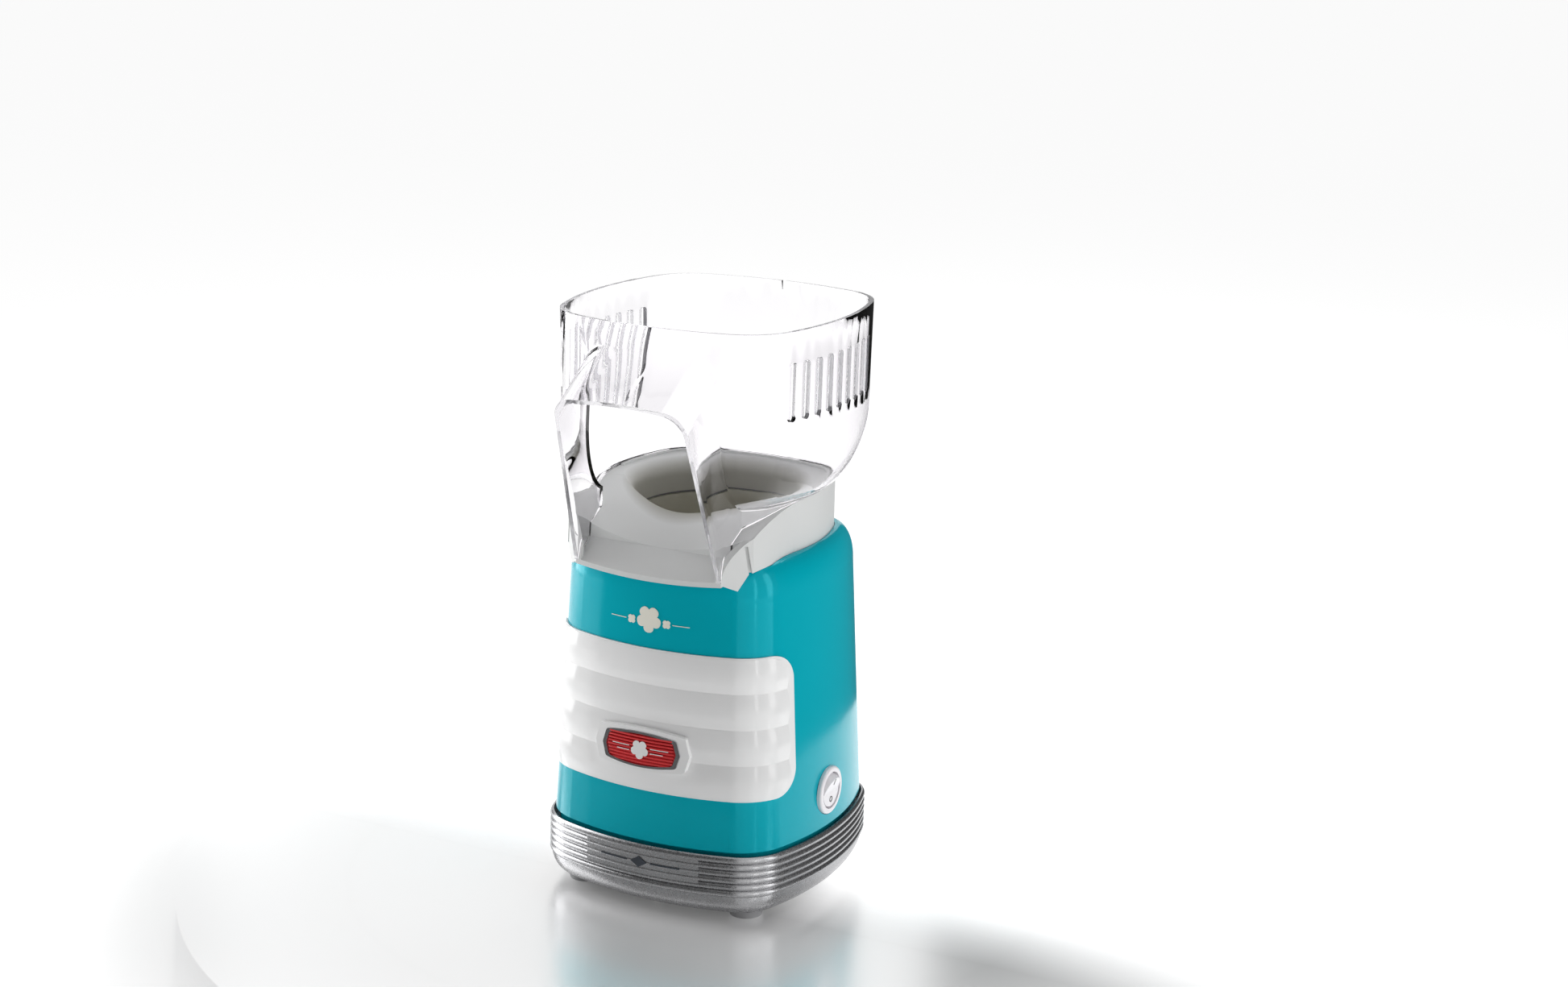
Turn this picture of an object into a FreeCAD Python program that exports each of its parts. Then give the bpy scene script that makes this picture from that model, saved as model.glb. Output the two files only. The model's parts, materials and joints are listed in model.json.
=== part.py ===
import FreeCAD, Part
import math
import os
from collections import namedtuple

# Hot-air popcorn maker: silver ribbed base, tapered painted body with a white wavy
# front panel and badge, grey pouring collar and a clear lift-off hood with a chute.
# Millimetres, +Z up, front towards -Y. Pieces are modelled about the body's own axis
# and moved at export so that the origin is under the middle of the whole object.

V = FreeCAD.Vector
UP = V(0, 0, 1)
RIGHT = V(1, 0, 0)
BACK = V(0, 1, 0)

# A plan is a square with crowned sides and round corners: half width and depth at
# mid side, corner radius, radius of the crowned sides and a shift along Y.
Plan = namedtuple("Plan", "half_x half_y corner crown shift")

# Heights.
foot_height = 3.5
base_height = 31.0
base_top = foot_height + base_height
body_gap = 1.6                      # shadow line between base and body
body_bottom = base_top + body_gap
shoulder_z = base_top + 121.0
body_top = base_top + 138.0
rim_z = base_top + 162.0            # top edge of the collar
belly_z = base_top + 200.0          # where the hood's wall turns straight
hood_top = base_top + 247.2

# Plans.
base_plan = Plan(70.0, 70.0, 27.0, 147.0, 0.0)
body_low = Plan(67.5, 67.5, 27.0, 142.0, 0.0)
body_high = Plan(62.0, 62.0, 26.0, 120.0, 0.0)
collar_plan = Plan(53.0, 53.0, 21.5, 100.0, 0.0)
hood_rim = Plan(65.9, 68.1, 29.4, 152.0, 0.7)
hood_belly = Plan(65.4, 67.4, 29.4, 150.0, 0.5)

# Walls and clearances.
base_wall = 2.0
body_wall = 2.2
collar_wall = 2.2
floor_plate = 2.4
hood_wall = 2.0
seat_gap = 0.3                      # between the hood and the collar
slip = 0.3                          # between a piece and the opening it sits in
shaft_slip = 0.05                   # running clearance of shafts and pins

# Base.
bead_height = 3.6
rib_count = 5
rib_pitch = 3.3
rib_depth = 1.1
tub_in = 10.5                       # how far the base turns in at its bottom
tub_turn = 78.0                     # degrees of that rounding
plaque_half = 30.0
plaque_top = 1.5
plaque_bottom = 15.5
plaque_sink = 0.2                   # of the smooth plate behind the ribs' crests
ledge_depth = 7.0                   # ledge for the body, below the base's top
ledge_thick = 2.0
ledge_reach = 9.0
cover_inset = 14.0
cover_thick = 2.0
foot_radius = 8.5
foot_place = 44.0
intake_count = 9
intake_pitch = 6.4
intake_width = 3.0
intake_radius = 33.0
intake_bar = 6.0                    # bar left in the middle of the intake
boss_radius = 3.6
boss_place = 50.0

# Body.
neck_in = 2.0
shoulder_in = 8.0
shoulder_turn = 84.0                # degrees of the shoulder's rounding
post_place = 43.5
post_web = 2.0
post_radius = 4.4
screw_radius = 1.5
screw_head = 3.0
screw_head_height = 2.2
pilot_depth = 12.0
screw_free = 0.3                    # clearance hole over the screw, on the radius
screw_bite = 0.3                    # pilot hole under the screw, on the radius
screw_core = 0.35                   # thread depth left off the shank, on the radius

# Front panel and badge.
panel_bottom = base_top + 26.5
panel_top = base_top + 95.3
panel_end = -32.5                   # y where the panel stops on the sides
panel_corner = 13.0
panel_thick = 0.9
wave_count = 4
wave_depth = 1.25
wave_margin = 4.6
wave_edge = 0.6
badge_z = base_top + 47.5
badge_half = 25.0
badge_height_half = 10.4
badge_proud = 4.3
badge_floor = 2.9
badge_ring_half = 20.6
badge_ring_high = 8.5
badge_label_half = 18.6
badge_label_high = 7.5
badge_bow = 1.9
badge_point = 1.9

# Collar, floor and lip.
lip_reach = 67.0
lip_z = base_top + 131.0
floor_slope = 38.5                  # degrees, of the floor behind the lip
floor_bend = 57.0                   # radius between flat rim and sloping floor
skirt_bottom = base_top + 124.0
mouth_y = 2.0
mouth_radius = 39.0
mouth_round = 8.0
mouth_boss = 44.5
mouth_boss_z = base_top + 146.0
rim_bend_y = -6.0                   # the flat rim ends here and starts to fall
rim_bend = 130.0
dish_start = -16.0                  # the floor starts to be dished here
ear_x = 49.0                        # where the side walls turn to the lip
ear_y = -54.0
lip_corner_x = 38.2
lip_corner_y = -64.5
lip_corner_z = base_top + 134.0
ear_share = 0.4                     # share of a growth that the ear takes along Y
corner_share = 0.5                  # share of it that the lip's corner takes along X
ridge_y = -60.6                     # a point of the ridge between ear and lip
ridge_z = base_top + 145.2
wing_x = 51.3
wing_y = -18.0
wing_bottom = base_top + 136.6
cheek_tip_z = base_top + 128.4
cheek_tip = 8.0                     # places along the cheek, from the lip's corner
cheek_side = 13.5
cheek_peak = 10.9
cheek_peak_z = base_top + 149.3
slit_width = 1.6
slit_depth = 1.5
rim_flat = 1.0                      # flat top of the side walls, outside the dished floor
rim_ridge = 1.0                     # locating ridge inside the hood's foot
ridge_thick = 1.5
collar_post_x = 36.5
collar_post_y = 39.5
collar_post_radius = 4.0

# Hood.
chute_reach = 93.0
chute_top_z = base_top + 213.5
chute_foot_y = -65.6
chute_foot_z = base_top + 134.0
chute_foot_half = 38.2
chute_top_half = 33.4
chute_root_y = -34.0
chute_root_top = base_top + 257.5
chute_root_foot_half = 41.0
chute_root_top_half = 33.6
chute_corner = 11.0
vent_count = 9
vent_pitch = 9.3
vent_width = 3.8
vent_low = base_top + 205.5
vent_high = base_top + 232.8
vent_middle = -2.3
notch_width = 2.0
notch_depth = 4.5

# Popping chamber and air path.
chamber_wall = 1.0
chamber_radius = 38.5
chamber_floor = base_top + 84.0
chamber_round = 9.0
chamber_flange = 46.0
gasket_thick = 1.2
louvre_count = 14
louvre_width = 1.8
louvre_height = 12.0
louvre_rise = 3.0
louvre_turn = 38.0
duct_radius = 47.0
duct_wall = 0.9
duct_bottom = base_top + 58.0
plate_z = base_top + 119.0
plate_thick = 1.2
plate_slip = 0.6
duct_tab = 8.0
rivet_place = duct_radius + duct_wall + duct_tab / 2
rivet_radius = 1.5
rivet_free = 0.1
rivet_head = 1.0
fan_bottom = base_top + 27.0
fan_wall = 2.0
fan_inlet = 24.0
impeller_radius = 41.0
impeller_z = base_top + 34.0
impeller_height = 14.0
impeller_disc = 1.6
blade_count = 10
blade_thick = 1.4
blade_turn = 28.0
hub_radius = 7.0
motor_radius = 16.0
motor_bottom = base_top - 18.0
motor_top = base_top + 20.0
shaft_radius = 1.5
bush_radius = 4.0
bush_length = 4.0
spider_thick = 2.4
spider_width = 9.0
motor_screw_place = 10.0
motor_places = [(-motor_screw_place, mouth_y), (motor_screw_place, mouth_y)]
heater_low = base_top + 62.0
heater_high = base_top + 81.0
board_thick = 0.8
coil_radius = 34.0
coil_turns = 4
coil_pitch = 4.0
coil_wire = 0.8

# Switch, wiring and cord entry.
switch_y = -4.0
switch_z = base_top + 18.5
switch_flat = 66.0                  # x of the flat that the switch sits on
bezel_radius = 11.7
bezel_thick = 2.2
barrel_radius = 9.9
barrel_bore = 9.0
barrel_length = 15.0
pivot_back = 3.7                    # pivot behind the bezel's front
rocker_radius = 8.7
rocker_face = 3.4
rocker_half_angle = 10.0
rocker_pin = 1.2
rocker_back = 4.5
tab_place = 4.0
tab_length = 8.0
tab_thick = 0.8
gland_z = base_top + 13.0
gland_bore = 3.3
gland_neck = 5.0
gland_flange = 8.0
gland_flange_thick = 2.2
wire_radius = 1.1
block_half = 14.0                   # terminal block
block_depth = 10.0
block_height = 12.0
block_pitch = 8.0
block_hole = 1.7
block_hole_up = 5.0

big = 200.0
quarter_turns = (0, 90, 180, 270)
# The whole depth runs from the chute's front to the base's back.
axis_y = (chute_reach - base_plan.half_y) / 2.0


def grown(plan, by):
    """The parallel plan, larger by a distance all round."""
    return Plan(plan.half_x + by, plan.half_y + by, plan.corner + by, plan.crown + by, plan.shift)


def mixed(one, other, share):
    """A plan between two plans."""
    return Plan(*[a + (b - a) * share for a, b in zip(one, other)])


def corner_centre(plan):
    """Centre of a corner arc that is tangent to both crowned sides."""
    reach = plan.crown - plan.corner
    flat_x = plan.half_x - plan.crown
    flat_y = plan.half_y - plan.crown
    x = plan.half_x - plan.corner
    y = plan.half_y - plan.corner
    for _ in range(60):
        x = flat_x + math.sqrt(reach * reach - y * y)
        y = flat_y + math.sqrt(reach * reach - x * x)
    return x, y


def plan_wire(plan, z):
    """Closed wire of a plan: four crowned sides joined by four tangent corners."""
    cx, cy = corner_centre(plan)
    side = math.atan2(cy, cx - (plan.half_x - plan.crown))
    front = math.atan2(cx, cy - (plan.half_y - plan.crown))
    x_end = cx + plan.corner * math.cos(side)
    y_end = cy + plan.corner * math.sin(side)
    x_front = cx + plan.corner * math.sin(front)
    y_front = cy + plan.corner * math.cos(front)
    middle = (side + math.pi / 2 - front) / 2
    x_mid = cx + plan.corner * math.cos(middle)
    y_mid = cy + plan.corner * math.sin(middle)

    def at(x, y):
        return V(x, y + plan.shift, z)

    edges = []
    marks = [
        (at(x_end, -y_end), at(plan.half_x, 0), at(x_end, y_end)),
        (at(x_end, y_end), at(x_mid, y_mid), at(x_front, y_front)),
        (at(x_front, y_front), at(0, plan.half_y), at(-x_front, y_front)),
        (at(-x_front, y_front), at(-x_mid, y_mid), at(-x_end, y_end)),
        (at(-x_end, y_end), at(-plan.half_x, 0), at(-x_end, -y_end)),
        (at(-x_end, -y_end), at(-x_mid, -y_mid), at(-x_front, -y_front)),
        (at(-x_front, -y_front), at(0, -plan.half_y), at(x_front, -y_front)),
        (at(x_front, -y_front), at(x_mid, -y_mid), at(x_end, -y_end)),
    ]
    for start, through, end in marks:
        edges.append(Part.Arc(start, through, end).toShape())
    return Part.Wire(edges)


def block(plan, low, high):
    """Straight prism of a plan."""
    return Part.Face(plan_wire(plan, low)).extrude(V(0, 0, high - low))


def loft(sections, ruled=False):
    """Solid through plans at heights."""
    return Part.makeLoft([plan_wire(plan, z) for plan, z in sections], True, ruled)


def box(low, high):
    return Part.makeBox(high[0] - low[0], high[1] - low[1], high[2] - low[2], V(*low))


def rod(radius, start, direction, length):
    return Part.makeCylinder(radius, length, start, direction)


def tube(outer, inner, z_low, z_high, x=0.0, y=0.0):
    ring = rod(outer, V(x, y, z_low), UP, z_high - z_low)
    return ring.cut(rod(inner, V(x, y, z_low - 1), UP, z_high - z_low + 2))


def joined(shapes):
    return shapes[0].fuse(shapes[1:]).removeSplitter() if len(shapes) > 1 else shapes[0]


def corners(x, y=None):
    """The four places at plus and minus x and y."""
    y = x if y is None else y
    return [(x, y), (-x, y), (-x, -y), (x, -y)]


def around(reach, middle=0.0):
    """The four places at a distance along +X, +Y, -X and -Y from the middle."""
    return [(reach, middle), (0, middle + reach), (-reach, middle), (0, middle - reach)]


def extruded(points, direction):
    """Prism of a closed polygon."""
    return Part.Face(Part.makePolygon(points + points[:1])).extrude(direction)


def body_at(z):
    """Plan of the body's outer wall at a height."""
    return mixed(body_low, body_high, (z - body_bottom) / (shoulder_z - body_bottom))


# Base.
def base_ring():
    bead = base_top - bead_height
    groove = grown(base_plan, -rib_depth)
    layers = [loft([(groove, base_top), (base_plan, base_top - bead_height / 2), (groove, bead)])]
    for i in range(rib_count):
        high = bead - i * rib_pitch
        low = high - rib_pitch
        layers.append(loft([(groove, high), (base_plan, (high + low) / 2), (groove, low)]))
    ribs_end = bead - rib_count * rib_pitch
    sections = []
    for i in range(6):
        turn = math.radians(tub_turn * i / 5)
        drop = (ribs_end - foot_height) * math.sin(turn) / math.sin(math.radians(tub_turn))
        sections.append((grown(groove, -tub_in * (1 - math.cos(turn))), ribs_end - drop))
    layers.append(loft(sections))
    ring = joined(layers)
    plaque = block(grown(base_plan, -plaque_sink), base_top - plaque_bottom, base_top - plaque_top)
    plaque = plaque.common(box((-plaque_half, -big, 0), (plaque_half, 0, big)))
    ring = ring.fuse(plaque)
    inside = grown(base_plan, -rib_depth - base_wall)
    ring = ring.cut(block(grown(base_plan, plaque_sink - base_wall), base_top - ledge_depth, base_top + 1))
    lower = block(grown(inside, -ledge_reach), foot_height - 1, base_top)
    lower = lower.fuse(loft([(grown(inside, -tub_in * 0.9), foot_height + cover_thick + 1.5),
                             (inside, ribs_end), (inside, base_top - ledge_depth - ledge_thick)], True))
    ring = ring.cut(lower)
    opening = block(grown(base_plan, -cover_inset), foot_height - 1, foot_height + cover_thick)
    ring = ring.cut(opening)
    for x, y in corners(post_place):
        pad = rod(post_radius + 1, V(x, y, base_top - ledge_depth - ledge_thick), UP, ledge_thick)
        arm = box((0, -post_radius, base_top - ledge_depth - ledge_thick),
                  (ledge_reach, post_radius, base_top - ledge_depth))
        arm.rotate(V(0, 0, 0), UP, math.degrees(math.atan2(y, x)))
        arm.translate(V(x, y, 0))
        ring = ring.fuse([pad, arm])
        ring = ring.cut(rod(screw_radius + screw_free, V(x, y, 0), UP, base_top))
    boss_low = foot_height + cover_thick
    for turn, (x, y) in zip(quarter_turns, around(boss_place)):
        boss = rod(boss_radius, V(x, y, boss_low), UP, base_top - ledge_depth - boss_low)
        arm = box((boss_place, -ledge_thick, base_top - ledge_depth - ledge_thick),
                  (inside.half_x, ledge_thick, base_top - ledge_depth))
        arm.rotate(V(0, 0, 0), UP, turn)
        ring = ring.fuse([boss, arm])
        ring = ring.cut(rod(screw_radius - screw_bite, V(x, y, foot_height), UP, cover_thick + pilot_depth))
    return ring.removeSplitter()


def bottom_cover():
    plan = grown(base_plan, -cover_inset - slip)
    cover = block(plan, foot_height, foot_height + cover_thick)
    for i in range(intake_count):
        y = (i - (intake_count - 1) / 2) * intake_pitch
        half = math.sqrt(intake_radius ** 2 - y * y) - intake_width / 2
        for near, far in ((-half, -intake_bar / 2), (intake_bar / 2, half)):
            slot = box((near, y - intake_width / 2, 0), (far, y + intake_width / 2, 2 * foot_height))
            cover = cover.cut(slot)
    for x, y in around(boss_place):
        cover = cover.cut(rod(screw_radius + screw_free, V(x, y, 0), UP, big))
    return cover


def feet():
    pads = []
    for x, y in corners(foot_place):
        pad = Part.makeCone(foot_radius - 0.8, foot_radius, foot_height, V(x, y, 0))
        pads.append(pad.cut(rod(screw_head, V(x, y, -1), UP, 2.2)))
    return Part.makeCompound(pads)


def screw(x, y, z, length, head_up=False):
    """A pan-head screw whose head meets height z; the shank goes up, or down."""
    way = -1 if head_up else 1
    shank = rod(screw_radius - screw_core, V(x, y, min(z, z + way * length)), UP, length)
    head = rod(screw_head, V(x, y, min(z, z - way * screw_head_height)), UP, screw_head_height)
    slot_z = z - way * screw_head_height
    slot = box((x - 2, y - 0.35, slot_z - 0.8), (x + 2, y + 0.35, slot_z + 0.8))
    cross = box((x - 0.35, y - 2, slot_z - 0.8), (x + 0.35, y + 2, slot_z + 0.8))
    return shank.fuse(head).cut(slot.fuse(cross))


def screws(places, z, length, head_up=False):
    return Part.makeCompound([screw(x, y, z, length, head_up) for x, y in places])


# Body.
def body_outer(inset=0.0, lower=None):
    """The body's outer form, or the same form inset by a wall."""
    low = body_bottom if lower is None else lower
    wall = loft([(grown(body_at(low), -inset), low), (grown(body_high, -inset), shoulder_z)], True)
    sections = []
    height = body_top - shoulder_z - inset
    last = math.radians(shoulder_turn)
    for i in range(7):
        turn = last * i / 6
        come_in = shoulder_in * (1 - math.cos(turn)) / (1 - math.cos(last))
        rise = height * math.sin(turn) / math.sin(last)
        sections.append((grown(body_high, -inset - come_in), shoulder_z + rise))
    return wall.fuse(loft(sections))


def floor_region(offset, above=True):
    """Everything above, or below, the floor surface raised by an offset."""
    slope = math.radians(floor_slope)
    corner_y = -lip_reach + (rim_z - lip_z) / math.tan(slope)
    run = floor_bend * math.tan(slope / 2)
    shift = V(0, 0, offset)
    flat_end = V(-big, corner_y + run, rim_z)
    slope_start = V(-big, corner_y - run * math.cos(slope), rim_z - run * math.sin(slope))
    centre = V(-big, corner_y + run, rim_z - floor_bend)
    half = slope / 2
    middle = centre + V(0, -floor_bend * math.sin(half), floor_bend * math.cos(half))
    far = V(-big, -lip_reach - 60, lip_z - 60 * math.tan(slope))
    start = V(-big, big, rim_z)
    edge_z = 3 * big if above else -big
    edges = [
        Part.LineSegment(start + shift, flat_end + shift).toShape(),
        Part.Arc(flat_end + shift, middle + shift, slope_start + shift).toShape(),
        Part.LineSegment(slope_start + shift, far + shift).toShape(),
        Part.LineSegment(far + shift, V(-big, far.y, edge_z)).toShape(),
        Part.LineSegment(V(-big, far.y, edge_z), V(-big, big, edge_z)).toShape(),
        Part.LineSegment(V(-big, big, edge_z), start + shift).toShape(),
    ]
    return Part.Face(Part.Wire(edges)).extrude(V(2 * big, 0, 0))


def wing_wire(by, z):
    """Front outline of the collar: wings, cheeks and the crowned lip, grown by a distance."""
    wing = V(wing_x + by, wing_y, z)
    ear = V(ear_x + by, ear_y - ear_share * by, z)
    corner = V(lip_corner_x + corner_share * by, lip_corner_y - by, z)
    front = V(0, -lip_reach - by, z)

    def mirrored(point):
        return V(-point.x, point.y, point.z)

    edges = [
        Part.LineSegment(wing, ear).toShape(),
        Part.LineSegment(ear, corner).toShape(),
        Part.Arc(corner, front, mirrored(corner)).toShape(),
        Part.LineSegment(mirrored(corner), mirrored(ear)).toShape(),
        Part.LineSegment(mirrored(ear), mirrored(wing)).toShape(),
        Part.LineSegment(mirrored(wing), wing).toShape(),
    ]
    return Part.Wire(edges)


def wing_block(by, low, high):
    return Part.Face(wing_wire(by, low)).extrude(V(0, 0, high - low))


def rim_region(offset, above=True):
    """Everything above, or below, the rim of the collar's side walls raised by an offset."""
    shift = V(0, 0, offset)
    fall = rim_bend_y - ear_y
    ear_z = rim_z - rim_bend + math.sqrt(rim_bend ** 2 - fall ** 2)
    middle_z = rim_z - rim_bend + math.sqrt(rim_bend ** 2 - fall ** 2 / 4)
    start = V(-big, big, rim_z) + shift
    flat_end = V(-big, rim_bend_y, rim_z) + shift
    ear = V(-big, ear_y, ear_z) + shift
    end = V(-big, lip_corner_y, lip_corner_z) + shift
    far = V(-big, -big, lip_corner_z) + shift
    edge_z = 3 * big if above else -big
    edges = [
        Part.LineSegment(start, flat_end).toShape(),
        Part.Arc(flat_end, V(-big, (rim_bend_y + ear_y) / 2, middle_z) + shift, ear).toShape(),
        Part.Arc(ear, V(-big, ridge_y, ridge_z) + shift, end).toShape(),
        Part.LineSegment(end, far).toShape(),
        Part.LineSegment(far, V(-big, -big, edge_z)).toShape(),
        Part.LineSegment(V(-big, -big, edge_z), V(-big, big, edge_z)).toShape(),
        Part.LineSegment(V(-big, big, edge_z), start).toShape(),
    ]
    return Part.Face(Part.Wire(edges)).extrude(V(2 * big, 0, 0))


def floor_height(y):
    """Height of the floor's middle line."""
    slope = math.radians(floor_slope)
    start = -lip_reach + (rim_z - lip_z) / math.tan(slope) + floor_bend * math.tan(slope / 2)
    past = start - y
    if past <= 0:
        return rim_z
    if past < floor_bend * math.sin(slope):
        return rim_z - floor_bend + math.sqrt(floor_bend ** 2 - past ** 2)
    return lip_z + (y + lip_reach) * math.tan(slope)


def rim_height(y):
    """Height of the side walls' rim."""
    past = max(rim_bend_y - y, 0)
    return rim_z - rim_bend + math.sqrt(rim_bend ** 2 - past ** 2)


def dish(offset):
    """The space over the dished floor between the side walls, raised by an offset."""
    sections = []
    steps = 8
    for i in range(steps + 1):
        y = dish_start + (ear_y - 1 - dish_start) * i / steps
        share = min(max((wing_y - y) / (wing_y - ear_y), 0), 1)
        half = wing_x + (ear_x - wing_x) * share - rim_flat
        low = floor_height(y) + offset
        high = rim_height(y) + offset
        left = V(-half, y, high)
        right = V(half, y, high)
        up = V(0, 0, 30 + rim_z - high)
        bow = Part.Arc(left, V(0, y, low), right).toShape()
        sections.append(Part.Wire([bow, Part.LineSegment(right, right + up).toShape(),
                                   Part.LineSegment(right + up, left + up).toShape(),
                                   Part.LineSegment(left + up, left).toShape()]))
    return Part.makeLoft(sections, True, False)


def cheek_walls():
    """Walls from the ears to the lip's corners, with the pointed cheeks that hang from them."""
    along = V(ear_x - lip_corner_x, ear_y - lip_corner_y, 0)
    length = along.Length
    along = along.multiply(1 / length)
    out = V(along.y, -along.x, 0)
    foot = V(lip_corner_x, lip_corner_y, 0)

    def at(place, z, sink=0.0):
        return foot + along * place - out * sink + V(0, 0, z)

    wall = extruded([at(0, lip_corner_z - floor_plate), at(cheek_tip, cheek_tip_z),
                     at(cheek_side, wing_bottom), at(length, wing_bottom),
                     at(length, rim_z), at(0, rim_z)], out * -collar_wall)
    slit_low = wing_bottom - 2
    slit = extruded([at(cheek_peak, cheek_peak_z, -1), at(cheek_peak + slit_width, cheek_peak_z, -1),
                     at(cheek_side + slit_width, slit_low, -1), at(cheek_side, slit_low, -1)],
                    out * -(slit_depth + 1))
    walls = wall.fuse(wall.mirror(V(0, 0, 0), RIGHT)).cut(body_outer(-slip))
    return walls, slit.fuse(slit.mirror(V(0, 0, 0), RIGHT))


def chute_collar():
    below = floor_region(-floor_plate, above=False)
    ring = block(collar_plan, skirt_bottom, rim_z + 1)
    hollow = block(grown(collar_plan, -collar_wall), skirt_bottom - 1, rim_z + 2).common(below)
    tunnel = tube(mouth_boss, mouth_radius - 1, mouth_boss_z, rim_z, 0, mouth_y)
    hollow = hollow.cut(tunnel)
    for x, y in corners(collar_post_x, collar_post_y):
        hollow = hollow.cut(rod(collar_post_radius, V(x, y, plate_z + plate_thick), UP, big))
    ring = ring.cut(hollow)
    wings = wing_block(0, lip_z - 8, rim_z + 1).cut(below)
    sides = wing_block(0, wing_bottom, rim_z + 1).cut(wing_block(-collar_wall, wing_bottom - 1, rim_z + 2))
    sides = sides.common(box((-big, ear_y, 0), (big, wing_y, 2 * big)))
    cheeks, slits = cheek_walls()
    # The space over the floor: dished between the side walls, open at the lip.
    front = box((-big, -big, 0), (big, ear_y, 2 * big))
    between = box((-lip_corner_x + 3, -big, 0), (lip_corner_x - 3, lip_corner_y + 3, 2 * big))
    space = wing_block(-collar_wall, lip_z - 8, rim_z + 1).common(front)
    space = space.fuse(wing_block(0, lip_z - 8, rim_z + 1).common(between)).common(floor_region(0))
    space = space.fuse(dish(0))
    ring = ring.cut(block(collar_plan, skirt_bottom, rim_z + 2).common(rim_region(0)))
    collar = ring.fuse([wings, sides, cheeks]).cut(rim_region(0)).cut(space).cut(slits)
    # Round mouth with a full rounding into the bore of the chamber.
    reach = mouth_radius + mouth_round
    mouth = rod(mouth_radius, V(0, mouth_y, skirt_bottom), UP, big)
    top = rim_z - mouth_round
    cap = Part.makeCylinder(reach, mouth_round, V(0, mouth_y, top))
    bull = Part.makeTorus(reach, mouth_round, V(0, mouth_y, top))
    collar = collar.cut(mouth).cut(cap.cut(bull))
    for x, y in corners(collar_post_x, collar_post_y):
        collar = collar.cut(rod(screw_radius - screw_bite, V(x, y, plate_z), UP, pilot_depth + plate_thick))
    ridge_plan = grown(collar_plan, -hood_wall - slip)
    ridge = block(ridge_plan, rim_z - 1, rim_z + rim_ridge)
    ridge = ridge.cut(block(grown(ridge_plan, -ridge_thick), rim_z - 2, rim_z + rim_ridge + 1))
    ridge = ridge.common(box((-big, rim_bend_y + 4, 0), (big, big, 2 * big)))
    return collar.fuse(ridge)


def body_shell():
    outer = body_outer()
    neck = block(grown(body_low, -neck_in), base_top - ledge_depth, body_bottom)
    inner = body_outer(body_wall, body_bottom)
    neck_bore = block(grown(body_low, -neck_in - body_wall), base_top - ledge_depth - 1, body_bottom + 1)
    shell = outer.fuse(neck).cut(inner.fuse(neck_bore))
    form = outer.fuse(neck)
    low = base_top - ledge_depth
    pilot = screw_radius - screw_bite
    for x, y in corners(post_place):
        web = box((0, -post_web / 2, low), (big, post_web / 2, plate_z))
        web.rotate(V(0, 0, 0), UP, math.degrees(math.atan2(y, x)))
        web.translate(V(x, y, 0))
        post = rod(post_radius, V(x, y, low), UP, plate_z - low).fuse(web).common(form)
        shell = shell.fuse(post)
        shell = shell.cut(rod(pilot, V(x, y, low - 1), UP, pilot_depth + 1))
        shell = shell.cut(rod(pilot, V(x, y, plate_z - pilot_depth), UP, pilot_depth + 1))
    # Opening for the collar, its wings and the sloping floor.
    shell = shell.cut(block(grown(collar_plan, slip), skirt_bottom - 1, body_top + 1))
    shell = shell.cut(wing_block(slip, wing_bottom - slip, body_top + 1))
    notch = wing_block(slip, base_top + 100, body_top + 1).common(floor_region(-floor_plate - slip))
    shell = shell.cut(notch)
    # Flat seat and hole for the switch, hole for the cord entry.
    seat = rod(bezel_radius + 2, V(switch_flat - 4, switch_y, switch_z), RIGHT, 4).common(form)
    shell = shell.fuse(seat)
    shell = shell.cut(rod(bezel_radius + slip, V(switch_flat, switch_y, switch_z), RIGHT, 10))
    shell = shell.cut(rod(barrel_radius + slip / 2, V(switch_flat - 10, switch_y, switch_z), RIGHT, 20))
    rear = body_at(gland_z).half_y
    shell = shell.cut(rod(gland_neck, V(0, rear - 10, gland_z), BACK, 20))
    return shell.removeSplitter()


# Front panel and badge.
def side_window(low, high, end_y, corner):
    """Prism along X whose outline ends with round corners on the sides."""
    window = box((-big, -big, low), (big, end_y, high))
    edges = [e for e in window.Edges
             if abs(e.BoundBox.YMin - end_y) < 1e-6 and e.BoundBox.YLength < 1e-6 and e.BoundBox.XLength > 1]
    return window.makeFillet(corner, edges)


def front_panel():
    low = panel_bottom
    high = panel_top
    flat = loft([(grown(body_at(low), panel_thick), low), (grown(body_at(high), panel_thick), high)], True)
    flat = flat.common(side_window(low, high, panel_end, panel_corner))
    pitch = (high - low) / wave_count
    waves = []
    steps = 6
    for i in range(wave_count):
        sections = []
        for k in range(steps + 1):
            z = low + pitch * (i + k / steps)
            swell = wave_depth * math.sin(math.pi * k / steps)
            sections.append((grown(body_at(z), panel_thick + swell), z))
        waves.append(loft(sections))
    wave = joined(waves)
    wave = wave.common(side_window(low + wave_edge, high - wave_edge, panel_end - wave_margin,
                                   panel_corner - wave_margin / 2))
    return flat.fuse(wave).cut(body_outer()).removeSplitter()


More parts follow.
